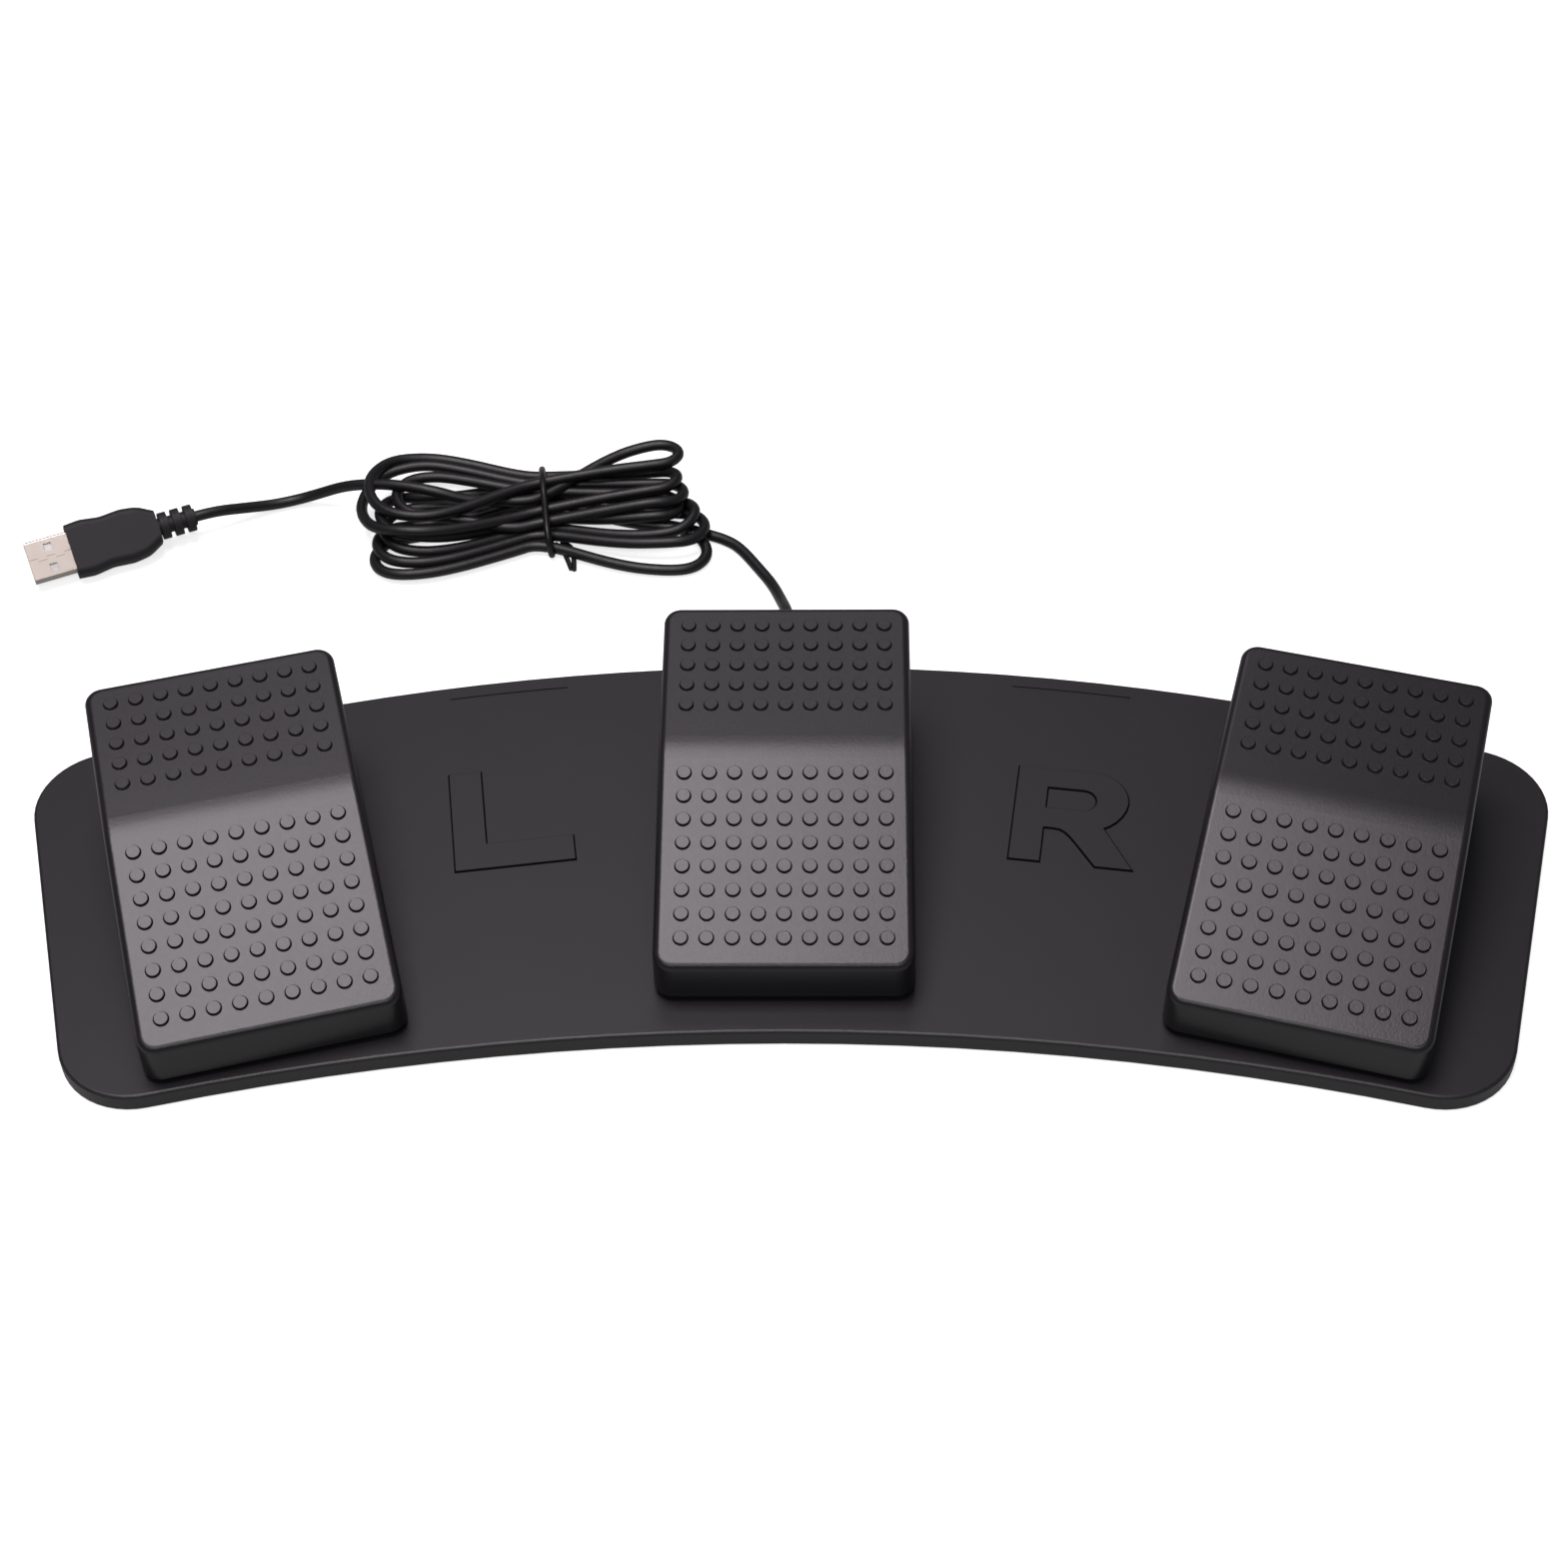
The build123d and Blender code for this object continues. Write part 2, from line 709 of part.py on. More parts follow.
# Circuit board on its standoffs, with its chip and the socket for the cord
with BuildPart() as controller_board:
    with BuildSketch(Plane.XY.offset(circuit_bottom)):
        with Locations((0, circuit_place + circuit_length / 2)):
            Rectangle(circuit_width, circuit_length)
    extrude(amount=circuit_thickness)
    chip_z = circuit_bottom + circuit_thickness
    with Locations((-chip_size, circuit_place + chip_size, chip_z + chip_thickness / 2)):
        Box(chip_size, chip_size, chip_thickness)
    socket_y = circuit_place + circuit_length - socket_depth / 2
    with Locations((0, socket_y, chip_z + socket_height / 2)):
        Box(socket_width, socket_depth, socket_height)
write_placed(controller_board.part, "controller_board", places["centre"])


def polyline_radii(points):
    """The largest arc for each corner of a route: a share of its shorter run over the half turn's tangent."""
    radii = []
    for before, here, after in zip(points, points[1:], points[2:]):
        run_in, run_out = here - before, after - here
        half_turn = radians(run_in.get_angle(run_out)) / 2
        radii.append(bend_share * min(run_in.length, run_out.length) / tan(half_turn))
    return radii


def tube(points, width, label, radii=None):
    """A cord's solid along a route of straight runs joined by tangent arcs."""
    route = [Vector(*point) for point in points]
    bends = radii or polyline_radii(route)
    print(label, "bend radii", [round(bend, 1) for bend in bends])
    with BuildPart() as cord:
        with BuildLine() as path:
            FilletPolyline(*route, radius=bends)
        run = path.wire()
        with BuildSketch(Plane(run @ 0, z_dir=run % 0)):
            RegularPolygon(width / 2, cord_sides)
        sweep(path=run)
    section = cord.faces().sort_by_distance(run @ 0)[0].area
    print(label, "volume over section times length", round(cord.part.volume / section / run.length, 4))
    return cord.part


# Inner leads: from a blade of each side switch, through the board, to the edge of the circuit board
lead_z = (lid_top + cavity_top) / 2
blade_back = -switch_place + blade_thickness / 2


def inner_lead(side, label):
    """The lead of one side pedal."""
    start = pedal_place(side)
    finish = places["centre"]
    inward = -side * wire_column
    start_points = [
        (inward, blade_back, circuit_middle),
        (inward, -wire_row, circuit_middle),
        (inward, -wire_row, lead_z),
    ]
    finish_points = [
        (-inward, -wire_row, lead_z),
        (-inward, -wire_row, circuit_middle),
        (-inward, circuit_place, circuit_middle),
    ]
    head = [(start * Location(point)).position for point in start_points]
    tail = [(finish * Location(point)).position for point in finish_points]
    centre = Vector(0, arc_centre_y, lead_z)
    turn = (head[-1] - centre).get_signed_angle(tail[0] - centre, Vector(0, 0, 1))
    middle = [
        centre + (head[-1] - centre).rotate(Axis.Z, turn * step / (groove_turns + 1))
        for step in range(1, groove_turns + 1)
    ]
    route = [*head, *middle, *tail]
    bends = polyline_radii(route)
    bends[:2] = [min(bend, lead_bend_radius) for bend in bends[:2]]
    bends[-2:] = [min(bend, lead_bend_radius) for bend in bends[-2:]]
    write(tube([tuple(point) for point in route], lead_width, label, bends), label)


inner_lead(-1, "left_inner_lead")
inner_lead(1, "right_inner_lead")

# Gland: a moulded cord anchor with a groove for the case wall and a tapering strain relief
gland_y = places["centre"].position.Y + case_back
with BuildPart() as cable_gland:
    with BuildSketch(Plane.YZ):
        with BuildLine():
            stub_start = gland_y - case_back + circuit_place + circuit_length
            Polyline(
                (stub_start, gland_z),
                (stub_start, gland_z + cord_radius),
                (gland_y - case_wall - gland_flange, gland_z + cord_radius),
                (gland_y - case_wall - gland_flange, gland_z + gland_radius),
                (gland_y - case_wall, gland_z + gland_radius),
                (gland_y - case_wall, gland_z + gland_groove_radius),
                (gland_y, gland_z + gland_groove_radius),
                (gland_y, gland_z + gland_radius),
                (gland_y + gland_flange, gland_z + gland_radius),
                (gland_y + gland_reach, gland_z + gland_tip_radius),
                (gland_y + gland_reach, gland_z),
                close=True,
            )
        make_face()
    revolve(axis=Axis((0, 0, gland_z), (0, 1, 0)))
write(cable_gland.part, "cable_gland")

# Hank: one unbroken tube that winds in on the lower layer, climbs, winds out on the upper layer
# and leaves over the top
lower_z = hank_rise + cord_radius
upper_z = lower_z + hank_layer_step
top_z = upper_z + hank_layer_step
climb_run = hank_half_turns // 2
hank_x, hank_y = hank_middle


def hank_spread(run):
    """How far from its layer's middle line a run lies where it is fanned out."""
    return hank_inner_radius + abs(run - climb_run) * hank_step / 2


def waist_place(run):
    """How far from the hank's middle line a run lies at the waist, and on which side."""
    side = 1 if run % 2 == 0 else -1
    return side * (hank_waist_inner + abs(run - climb_run) * hank_waist_step / 2)


def hank_point(along, across, height):
    return Vector(hank_x + along, hank_y + across, height)


def ease(start, finish):
    """Two equal arcs with a straight run between them, that leave start and reach finish along X."""
    ahead = Vector(finish.X - start.X, 0, 0)
    rise = finish - start - ahead
    radius = hank_bend_share * (ahead.length**2 + rise.length**2) / (4 * rise.length)
    beyond = rise.length - 2 * radius
    turn = atan(beyond / ahead.length) + asin(2 * radius / hypot(ahead.length, beyond))
    part_way, all_way = (
        ahead.normalized() * radius * sin(angle) + rise.normalized() * radius * (1 - cos(angle))
        for angle in (turn / 2, turn)
    )
    ThreePointArc(start, start + part_way, start + all_way)
    Line(start + all_way, finish - all_way)
    ThreePointArc(finish - all_way, finish - part_way, finish)


# Where the ends of the two layers lie, to the left (-1) and to the right (1)
lower_ends = {-1: (hank_half_length, hank_lower_left), 1: (hank_half_length, hank_lower_right)}
upper_half = hank_half_length - hank_upper_shorter
upper_ends = {-1: (upper_half, hank_upper_left), 1: (upper_half, hank_upper_right)}

with BuildPart() as cord_hank:
    with BuildLine() as hank_line:
        first_radius = hank_spread(0) + hank_step / 4
        first_centre = hank_lower_right - hank_step / 4
        start = hank_point(hank_half_length + first_radius, first_centre, lower_z)
        Line(start - Vector(0, cord_width, 0), start)
        halfway = first_radius * sin(radians(45))
        ThreePointArc(
            start,
            hank_point(hank_half_length + halfway, first_centre + halfway, lower_z),
            hank_point(hank_half_length, first_centre + first_radius, lower_z),
        )
        for run in range(hank_half_turns):
            last = run == hank_half_turns - 1
            heading = -1 if run % 2 == 0 else 1
            side = -heading
            narrow = waist_place(run)
            # The layer that the run comes from and the one that it leaves in
            from_half, from_shift = (lower_ends if run <= climb_run else upper_ends)[-heading]
            to_half, to_shift = (lower_ends if run < climb_run else upper_ends)[heading]
            height = lower_z if run <= climb_run else upper_z
            waist_height = lower_z if run < climb_run else upper_z
            leave_height = top_z if last else waist_height
            waist_half = hank_climb_half if run == climb_run else hank_waist_half
            waist_entry = hank_point(-heading * waist_half, narrow, height)
            waist_exit = hank_point(heading * waist_half, narrow, waist_height)
            ease(hank_point(-heading * from_half, from_shift + side * hank_spread(run), height), waist_entry)
            if run == climb_run:
                ease(waist_entry, waist_exit)
            else:
                Line(waist_entry, waist_exit)
            wide = to_shift + side * hank_spread(run)
            next_wide = hank_last_place if last else to_shift - side * hank_spread(run + 1)
            leave = hank_point(heading * to_half, wide, leave_height)
            ease(waist_exit, leave)
            outermost = heading * (to_half + abs(next_wide - wide) / 2)
            turn_point = hank_point(outermost, (wide + next_wide) / 2, leave_height)
            turned = hank_point(heading * to_half, next_wide, leave_height)
            ThreePointArc(leave, turn_point, turned)
        hank_end = hank_point(-hank_half_length - cord_width, hank_last_place, top_z)
        Line(turned, hank_end)
    hank_run = hank_line.wire()
    hank_start = hank_run @ 0
    with BuildSketch(Plane(hank_start, z_dir=hank_run % 0)):
        RegularPolygon(cord_radius, cord_sides)
    sweep(path=hank_run)
hank_length = hank_run.length
hank_section = cord_hank.faces().sort_by_distance(hank_start)[0].area
print("hank starts at", hank_start, "ends at", hank_end, "length", round(hank_length))
print("hank volume over section times length", round(cord_hank.part.volume / hank_section / hank_length, 4))

# The least gap of the hank to itself, measured on points of its line
gap_step = cord_width / 2
gap_count = int(hank_length / gap_step)
line_points = [hank_run @ (index / gap_count) for index in range(gap_count + 1)]
apart = int(3 * cord_width / gap_step)
least = min(
    (first - second).length
    for index, first in enumerate(line_points)
    for second in line_points[index + apart:]
)
print("hank least gap to itself", round(least - cord_width, 2))
write(cord_hank.part, "cord_hank")

# The plug's own plane, through its axis and rolled so that its broad face looks up and forward
plug_axis = Vector(1, 0, 0).rotate(Axis.Z, plug_heading)
plug_up = Vector(0, 0, 1).rotate(Axis((0, 0, 0), plug_axis), -plug_roll)
plug_plane = Plane(plug_tail, x_dir=plug_axis, z_dir=plug_up)


# Free stretches of cord: from the gland to the hank, and from the hank to the plug
cord_lead_points = [
    (0.0, gland_y + gland_reach, gland_z),
    (0.0, 85.9, gland_z),
    (-0.8, 93.9, 8.4),
    (-2.6, 102.6, 4.3),
    (-5.7, 112.0, 1.8),
    (-9.2, 117.6, 1.7),
    (-13.2, 121.0, 1.75),
    (-17.8, 123.2, 2.0),
    (-21.4, 125.2, 2.5),
    (hank_start.X, 128.4, lower_z),
    tuple(hank_start),
]
write(tube(cord_lead_points, cord_width, "cord_lead"), "cord_lead")
cord_tail_points = [
    tuple(hank_end),
    (-118.0, hank_end.Y, hank_end.Z),
    (-126.6, 145.7, 11.1),
    (-134.6, 148.2, 8.2),
    (-141.4, 149.5, 4.6),
    (-148.0, 149.5, 2.3),
    (-155.0, 147.2, 2.3),
    (-162.2, 143.6, 4.3),
    tuple(Vector(plug_tail) - plug_axis * plug_run),
    plug_tail,
]
write(tube(cord_tail_points, cord_width, "cord_tail"), "cord_tail")

# Tie drawn tight round the strands at the waist of the hank, with its two twisted tails
strands = [(hank_last_place, top_z)]
strands += [(waist_place(run), lower_z if run < climb_run else upper_z) for run in range(hank_half_turns)]
tie_plane = Plane((hank_x + tie_place - tie_width / 2, hank_y, 0), x_dir=(0, 1, 0), z_dir=(1, 0, 0))
with BuildPart() as cable_tie:
    with BuildSketch(tie_plane):
        with Locations(*strands):
            Circle(cord_radius + tie_clearance + tie_thickness)
        make_hull()
    extrude(amount=tie_width)
    with BuildSketch(tie_plane):
        with Locations(*strands):
            Circle(cord_radius + tie_clearance)
        make_hull()
    extrude(amount=tie_width, mode=Mode.SUBTRACT)
    waist_front = -waist_place(1) + cord_radius + tie_clearance
    knot = Vector(hank_x + tie_place, hank_y - waist_front - tie_thickness / 2, lower_z)
    for angle in (-tie_tail_angle, tie_tail_angle / 4):
        heading = Vector(0, -1, 0).rotate(Axis.Z, angle)
        with BuildSketch(Plane(knot, z_dir=heading)):
            RegularPolygon(tie_tail_width / 2, cord_sides)
        extrude(amount=tie_tail_length)
write(cable_tie.part, "cable_tie")

def across_plug(distance):
    """The plane square to the plug's axis, at a distance from the end of its strain relief."""
    return Plane(plug_plane.origin + plug_axis * distance, x_dir=plug_plane.y_dir, z_dir=plug_axis)


ring_pitch = relief_length / relief_rings
with BuildPart() as plug_strain_relief:
    with BuildSketch(plug_plane):
        with BuildLine():
            relief_line = [(0, 0), (0, relief_neck_radius)]
            for ring in range(relief_rings):
                ring_start = ring * ring_pitch + ring_pitch * (1 - relief_ring_share) / 2
                ring_stop = ring_start + ring_pitch * relief_ring_share
                relief_line += [
                    (ring_start, relief_neck_radius),
                    (ring_start, relief_ring_radius),
                    (ring_stop, relief_ring_radius),
                    (ring_stop, relief_neck_radius),
                ]
            relief_line += [(relief_length, relief_neck_radius), (relief_length, 0)]
            Polyline(*relief_line, close=True)
        make_face()
    revolve(axis=Axis(plug_plane.origin, plug_axis))
write(plug_strain_relief.part, "plug_strain_relief")

# Grip: the halves of its outline are mirror images
grip_top = [
    (relief_length + along * grip_length, across * grip_width / 2)
    for along, across in zip(grip_length_shares, grip_width_shares)
]
grip_bottom = [(along, -across) for along, across in grip_top]
with BuildPart() as plug_body:
    with BuildSketch(plug_plane):
        with BuildLine():
            FilletPolyline(*grip_top, radius=grip_bend)
            FilletPolyline(*grip_bottom, radius=grip_bend)
            Line(grip_bottom[0], grip_top[0])
            Line(grip_top[-1], grip_bottom[-1])
        make_face()
    extrude(amount=grip_thickness / 2, both=True)
    broad_faces = plug_body.faces().filter_by(lambda face: abs(face.normal_at().dot(plug_up)) > 0.9)
    end_edges = plug_body.edges().filter_by(lambda edge: abs((edge % 0.5).dot(plug_plane.y_dir)) > 0.99)
    fillet([edge for edge in broad_faces.edges() if edge not in end_edges], grip_round)
    with BuildSketch(across_plug(relief_length + grip_length)):
        Rectangle(shell_width + 2 * shell_clearance, shell_height + 2 * shell_clearance)
    extrude(amount=-shell_seat, mode=Mode.SUBTRACT)
write(plug_body.part, "plug_body")

# Shell of bent sheet, seated in the grip, with two windows in each broad face
shell_back = relief_length + grip_length - shell_seat
with BuildPart() as plug_shell:
    with BuildSketch(across_plug(shell_back)):
        RectangleRounded(shell_width, shell_height, shell_corner)
        RectangleRounded(
            shell_width - 2 * shell_sheet,
            shell_height - 2 * shell_sheet,
            shell_corner - shell_sheet,
            mode=Mode.SUBTRACT,
        )
    extrude(amount=shell_seat + shell_length)
    with BuildSketch(plug_plane):
        window_row = relief_length + grip_length + shell_length - shell_window_place
        with Locations(*[(window_row, side * shell_window_spacing / 2) for side in (-1, 1)]):
            Rectangle(shell_window, shell_window)
    extrude(amount=shell_height, both=True, mode=Mode.SUBTRACT)
write(plug_shell.part, "plug_shell")

# Tongue in the lower half of the shell, with its four contacts
tongue_width = shell_width - 2 * shell_sheet - 2 * tongue_clearance
tongue_floor = shell_sheet + tongue_clearance - shell_height / 2
tongue_front = shell_seat + shell_length - tongue_setback
with BuildPart() as plug_tongue:
    with BuildSketch(across_plug(shell_back)):
        with Locations((0, tongue_floor + tongue_thickness / 2)):
            Rectangle(tongue_width, tongue_thickness)
    extrude(amount=tongue_front)
write(plug_tongue.part, "plug_tongue")

contact_start = shell_back + tongue_front - tongue_setback - contact_length
with BuildPart() as plug_contacts:
    with BuildSketch(across_plug(contact_start)):
        with Locations((0, tongue_floor + tongue_thickness + contact_thickness / 2)):
            with GridLocations(contact_pitch, contact_pitch, contact_count, 1):
                Rectangle(contact_width, contact_thickness)
    extrude(amount=contact_length)
write(plug_contacts.part, "plug_contacts")
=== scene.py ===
import math

import bmesh
import bpy
from mathutils import Matrix, Vector


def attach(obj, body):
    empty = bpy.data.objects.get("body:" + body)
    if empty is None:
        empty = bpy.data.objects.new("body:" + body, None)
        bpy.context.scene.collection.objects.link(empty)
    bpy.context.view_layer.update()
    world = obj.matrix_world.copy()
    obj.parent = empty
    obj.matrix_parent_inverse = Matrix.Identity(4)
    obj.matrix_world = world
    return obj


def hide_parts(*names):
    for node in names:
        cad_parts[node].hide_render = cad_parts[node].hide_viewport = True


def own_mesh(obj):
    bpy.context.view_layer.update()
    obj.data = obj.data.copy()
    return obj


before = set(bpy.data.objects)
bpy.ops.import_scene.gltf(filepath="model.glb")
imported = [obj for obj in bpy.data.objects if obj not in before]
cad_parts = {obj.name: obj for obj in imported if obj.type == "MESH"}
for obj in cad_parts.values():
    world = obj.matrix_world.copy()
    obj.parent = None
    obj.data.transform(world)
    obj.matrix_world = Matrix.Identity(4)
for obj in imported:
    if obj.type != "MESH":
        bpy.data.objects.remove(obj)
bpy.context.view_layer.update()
mm = 0.001


def linear(hexColour):
    # sRGB hex to the linear values that shaders want
    values = [int(hexColour[i:i + 2], 16) / 255 for i in (1, 3, 5)]
    return [v / 12.92 if v <= 0.04045 else ((v + 0.055) / 1.055) ** 2.4 for v in values] + [1.0]


def addNode(tree, kind, settings=None, inputs=None, links=None):
    # settings are the node's own options, inputs its values, links what feeds its sockets
    made = tree.nodes.new(kind)
    for key, value in (settings or {}).items():
        setattr(made, key, value)
    for key, value in (inputs or {}).items():
        made.inputs[key].default_value = value
    for key, source in (links or {}).items():
        tree.links.new(source, made.inputs[key])
    return made


def startMaterial(name, colour, rough, metal, ior):
    material = bpy.data.materials.new(name)
    material.use_nodes = True
    tree = material.node_tree
    shader = tree.nodes["Principled BSDF"]
    shader.inputs["Base Color"].default_value = linear(colour)
    shader.inputs["Roughness"].default_value = rough
    shader.inputs["Metallic"].default_value = metal
    shader.inputs["IOR"].default_value = ior
    return material, tree, shader


def mottled(name, colour, darker, rough, spread, grain, height, blotch, metal=0.0, ior=1.5):
    # a surface with a fine grain and slow, faint patches; grain, its height and blotch are real sizes in mm
    material, tree, shader = startMaterial(name, colour, rough, metal, ior)
    place = addNode(tree, "ShaderNodeTexCoord").outputs["Object"]
    patches = addNode(tree, "ShaderNodeTexNoise", inputs={"Scale": 1 / (blotch * mm), "Detail": 3.0},
                      links={"Vector": place})
    tint = addNode(tree, "ShaderNodeMix", {"data_type": "RGBA"}, links={"Factor": patches.outputs["Fac"]})
    tint.inputs["A"].default_value = linear(darker)
    tint.inputs["B"].default_value = linear(colour)
    tree.links.new(tint.outputs["Result"], shader.inputs["Base Color"])
    grains = addNode(tree, "ShaderNodeTexNoise", inputs={"Scale": 1 / (grain * mm), "Detail": 2.0},
                     links={"Vector": place})
    gloss = addNode(tree, "ShaderNodeMapRange", inputs={"To Min": rough - spread, "To Max": rough + spread},
                    links={"Value": grains.outputs["Fac"]})
    tree.links.new(gloss.outputs["Result"], shader.inputs["Roughness"])
    bump = addNode(tree, "ShaderNodeBump", inputs={"Strength": 0.5, "Distance": height * mm},
                   links={"Height": grains.outputs["Fac"]})
    tree.links.new(bump.outputs["Normal"], shader.inputs["Normal"])
    return material


# ABS moulded in a spark-eroded tool: matt, so it mirrors a lamp as a broad soft patch, with a fine sparkle. The grain
# is drawn a little coarser than the real one, which would be too fine to show
coverAbs = mottled("spark_eroded_abs", "#232124", "#1f1d20",
                   rough=0.31, spread=0.04, grain=0.7, height=0.05, blotch=9.0)
# the board is moulded the same way with a finer, duller grain, so its reflections spread wider
boardAbs = mottled("spark_eroded_abs_board", "#211f22", "#1d1b1e",
                   rough=0.43, spread=0.04, grain=0.6, height=0.03, blotch=12.0, ior=1.56)
# painted shade: a near-black sheet stands for the unlit bottom of a gap of a few tenths of a millimetre, and it mirrors
# next to nothing
gapAbs = mottled("abs_in_a_narrow_gap", "#0b0a0b", "#090809",
                 rough=0.8, spread=0.04, grain=0.6, height=0.02, blotch=12.0, ior=1.05)
# the cases come from a plainer tool: hardly any grain, and a shade duller than the covers
caseAbs = mottled("plain_moulded_abs", "#232225", "#1f1e21",
                  rough=0.38, spread=0.04, grain=1.2, height=0.02, blotch=15.0)
# soft PVC squeezed through a die: a satin skin with long faint waves
cordPvc = mottled("extruded_pvc", "#19181a", "#151416", rough=0.4, spread=0.05, grain=1.4, height=0.03, blotch=6.0)
# soft PVC moulded over the plug: matt and grainy, a shade lighter than the cord
gripPvc = mottled("moulded_pvc_grip", "#1f1d21", "#1b191d", rough=0.62, spread=0.05, grain=0.5, height=0.03, blotch=5.0)
# PVC drawn over iron wire: smooth, with a small clear shine
tiePvc = mottled("twist_tie_pvc", "#161518", "#121113", rough=0.36, spread=0.05, grain=1.0, height=0.03, blotch=4.0)
# moulded rubber: dull, nearly without shine
rubberPad = mottled("moulded_rubber", "#1b1b1c", "#171718", rough=0.72, spread=0.05, grain=0.8, height=0.04, blotch=6.0)
# nickel over rolled steel sheet: bright, warm grey and softly blurred
shellNickel = mottled("nickel_plated_sheet", "#c6beb5", "#bab2a9",
                      rough=0.34, spread=0.03, grain=2.5, height=0.003, blotch=6.0, metal=1.0)


def addSeam(material, seam):
    # the sheet's two edges meet in a toothed line along the middle of the upper face
    tree = material.node_tree
    shader = tree.nodes["Principled BSDF"]
    heading = math.radians(seam["heading"])
    tipU = math.cos(heading) * seam["tip"][0] + math.sin(heading) * seam["tip"][1]
    tipV = math.cos(heading) * seam["tip"][1] - math.sin(heading) * seam["tip"][0]
    place = addNode(tree, "ShaderNodeTexCoord").outputs["Object"]
    turned = addNode(tree, "ShaderNodeMapping", links={"Vector": place},
                     inputs={"Rotation": (0, 0, -heading), "Location": (-tipU * mm, -tipV * mm, -seam["tip"][2] * mm)})
    rolled = addNode(tree, "ShaderNodeMapping", links={"Vector": turned.outputs["Vector"]},
                     inputs={"Rotation": (math.radians(seam["roll"]), 0, 0)})
    axes = addNode(tree, "ShaderNodeSeparateXYZ", links={0: rolled.outputs["Vector"]}).outputs

    def calculate(operation, first, second):
        made = addNode(tree, "ShaderNodeMath", {"operation": operation})
        for index, value in enumerate((first, second)):
            if isinstance(value, float):
                made.inputs[index].default_value = value
            else:
                tree.links.new(value, made.inputs[index])
        return made.outputs[0]

    wave = calculate("SINE", calculate("MULTIPLY", axes["X"], 2 * math.pi / (seam["pitch"] * mm)), 0.0)
    tooth = calculate("MULTIPLY", calculate("SIGN", wave, 0.0), seam["depth"] / 2 * mm)
    away = calculate("ABSOLUTE", calculate("SUBTRACT", axes["Y"], tooth), 0.0)
    line = calculate("LESS_THAN", away, seam["width"] / 2 * mm)
    upper = calculate("GREATER_THAN", axes["Z"], seam["above"] * mm)
    cut = calculate("MULTIPLY", line, upper)
    colour = shader.inputs["Base Color"].links[0].from_socket
    dark = addNode(tree, "ShaderNodeMix", {"data_type": "RGBA"}, links={"Factor": cut, "A": colour})
    dark.inputs["B"].default_value = linear(seam["colour"])
    tree.links.new(dark.outputs["Result"], shader.inputs["Base Color"])


# where the plug lies: the middle of its tip, the way it points and how far it is rolled over
plugLie = {"tip": (-221.55, 115.72, 7.35), "heading": 204.4, "roll": 38.0}
addSeam(shellNickel, {**plugLie, "pitch": 5.2, "depth": 0.9, "width": 0.16, "above": 1.0, "colour": "#7d746b"})

# zinc over turned steel: a cool, pale metal with soft shine
zincSteel = mottled("zinc_plated_steel", "#b9bbb8", "#a7a9a6",
                    rough=0.34, spread=0.03, grain=2.5, height=0.003, blotch=6.0, metal=1.0)
# drawn and coiled steel wire: darker and a little clearer
springSteel = mottled("drawn_spring_steel", "#a3a3a3", "#8f8f8f",
                      rough=0.30, spread=0.03, grain=2.5, height=0.003, blotch=6.0, metal=1.0)
# punched brass under tin: pale, with a warm cast
tinnedBrass = mottled("tinned_brass", "#cfc9b4", "#bdb7a0",
                      rough=0.33, spread=0.03, grain=2.5, height=0.003, blotch=6.0, metal=1.0)
# gold over punched brass: deep yellow, clear shine
contactGold = mottled("gold_plated_brass", "#d8b25a", "#c9a24b",
                      rough=0.28, spread=0.03, grain=2.5, height=0.003, blotch=6.0, metal=1.0)
# moulded nylon: satin black
switchNylon = mottled("moulded_nylon", "#1d1d1f", "#19191b",
                      rough=0.40, spread=0.05, grain=0.6, height=0.02, blotch=4.0)
# moulded acetal: slippery, satin red
plungerAcetal = mottled("moulded_acetal", "#a83228", "#9c2c23",
                        rough=0.38, spread=0.05, grain=0.6, height=0.02, blotch=3.0)
# moulded PBT: plain white with a soft shine
tonguePbt = mottled("moulded_pbt", "#f8f7f4", "#f0eeea", rough=0.45, spread=0.05, grain=0.6, height=0.02, blotch=3.0)
# solder mask over laminate: deep green, smooth
circuitGreen = mottled("solder_masked_laminate", "#1f5a34", "#1a4f2d",
                       rough=0.30, spread=0.05, grain=0.8, height=0.02, blotch=5.0)
print("materials made")


def finishNode(name, material):
    # a CAD node keeps its mesh and gets its finish
    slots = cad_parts[name].data.materials
    if not len(slots):
        slots.append(material)
    for index in range(len(slots)):
        slots[index] = material


nodeFinishes = {
    "base_plate": boardAbs, "bottom_lid": boardAbs, "rubber_feet": rubberPad, "case_screws": zincSteel,
    "controller_board": circuitGreen, "left_inner_lead": cordPvc, "right_inner_lead": cordPvc,
    "cable_gland": cordPvc, "cord_lead": cordPvc, "cord_hank": cordPvc, "cord_tail": cordPvc,
    "cable_tie": tiePvc, "plug_strain_relief": gripPvc, "plug_body": gripPvc, "plug_shell": shellNickel,
    "plug_tongue": tonguePbt, "plug_contacts": contactGold,
}
pedalFinishes = {
    "pedal_cover": coverAbs, "pedal_case": caseAbs, "hinge_pin": zincSteel, "return_spring": springSteel,
    "switch_body": switchNylon, "switch_plunger": plungerAcetal, "switch_blades": tinnedBrass,
}
for side in ("left", "centre", "right"):
    for name, material in pedalFinishes.items():
        nodeFinishes[side + "_" + name] = material
for name, material in nodeFinishes.items():
    finishNode(name, material)
print("solids finished:", len(nodeFinishes))

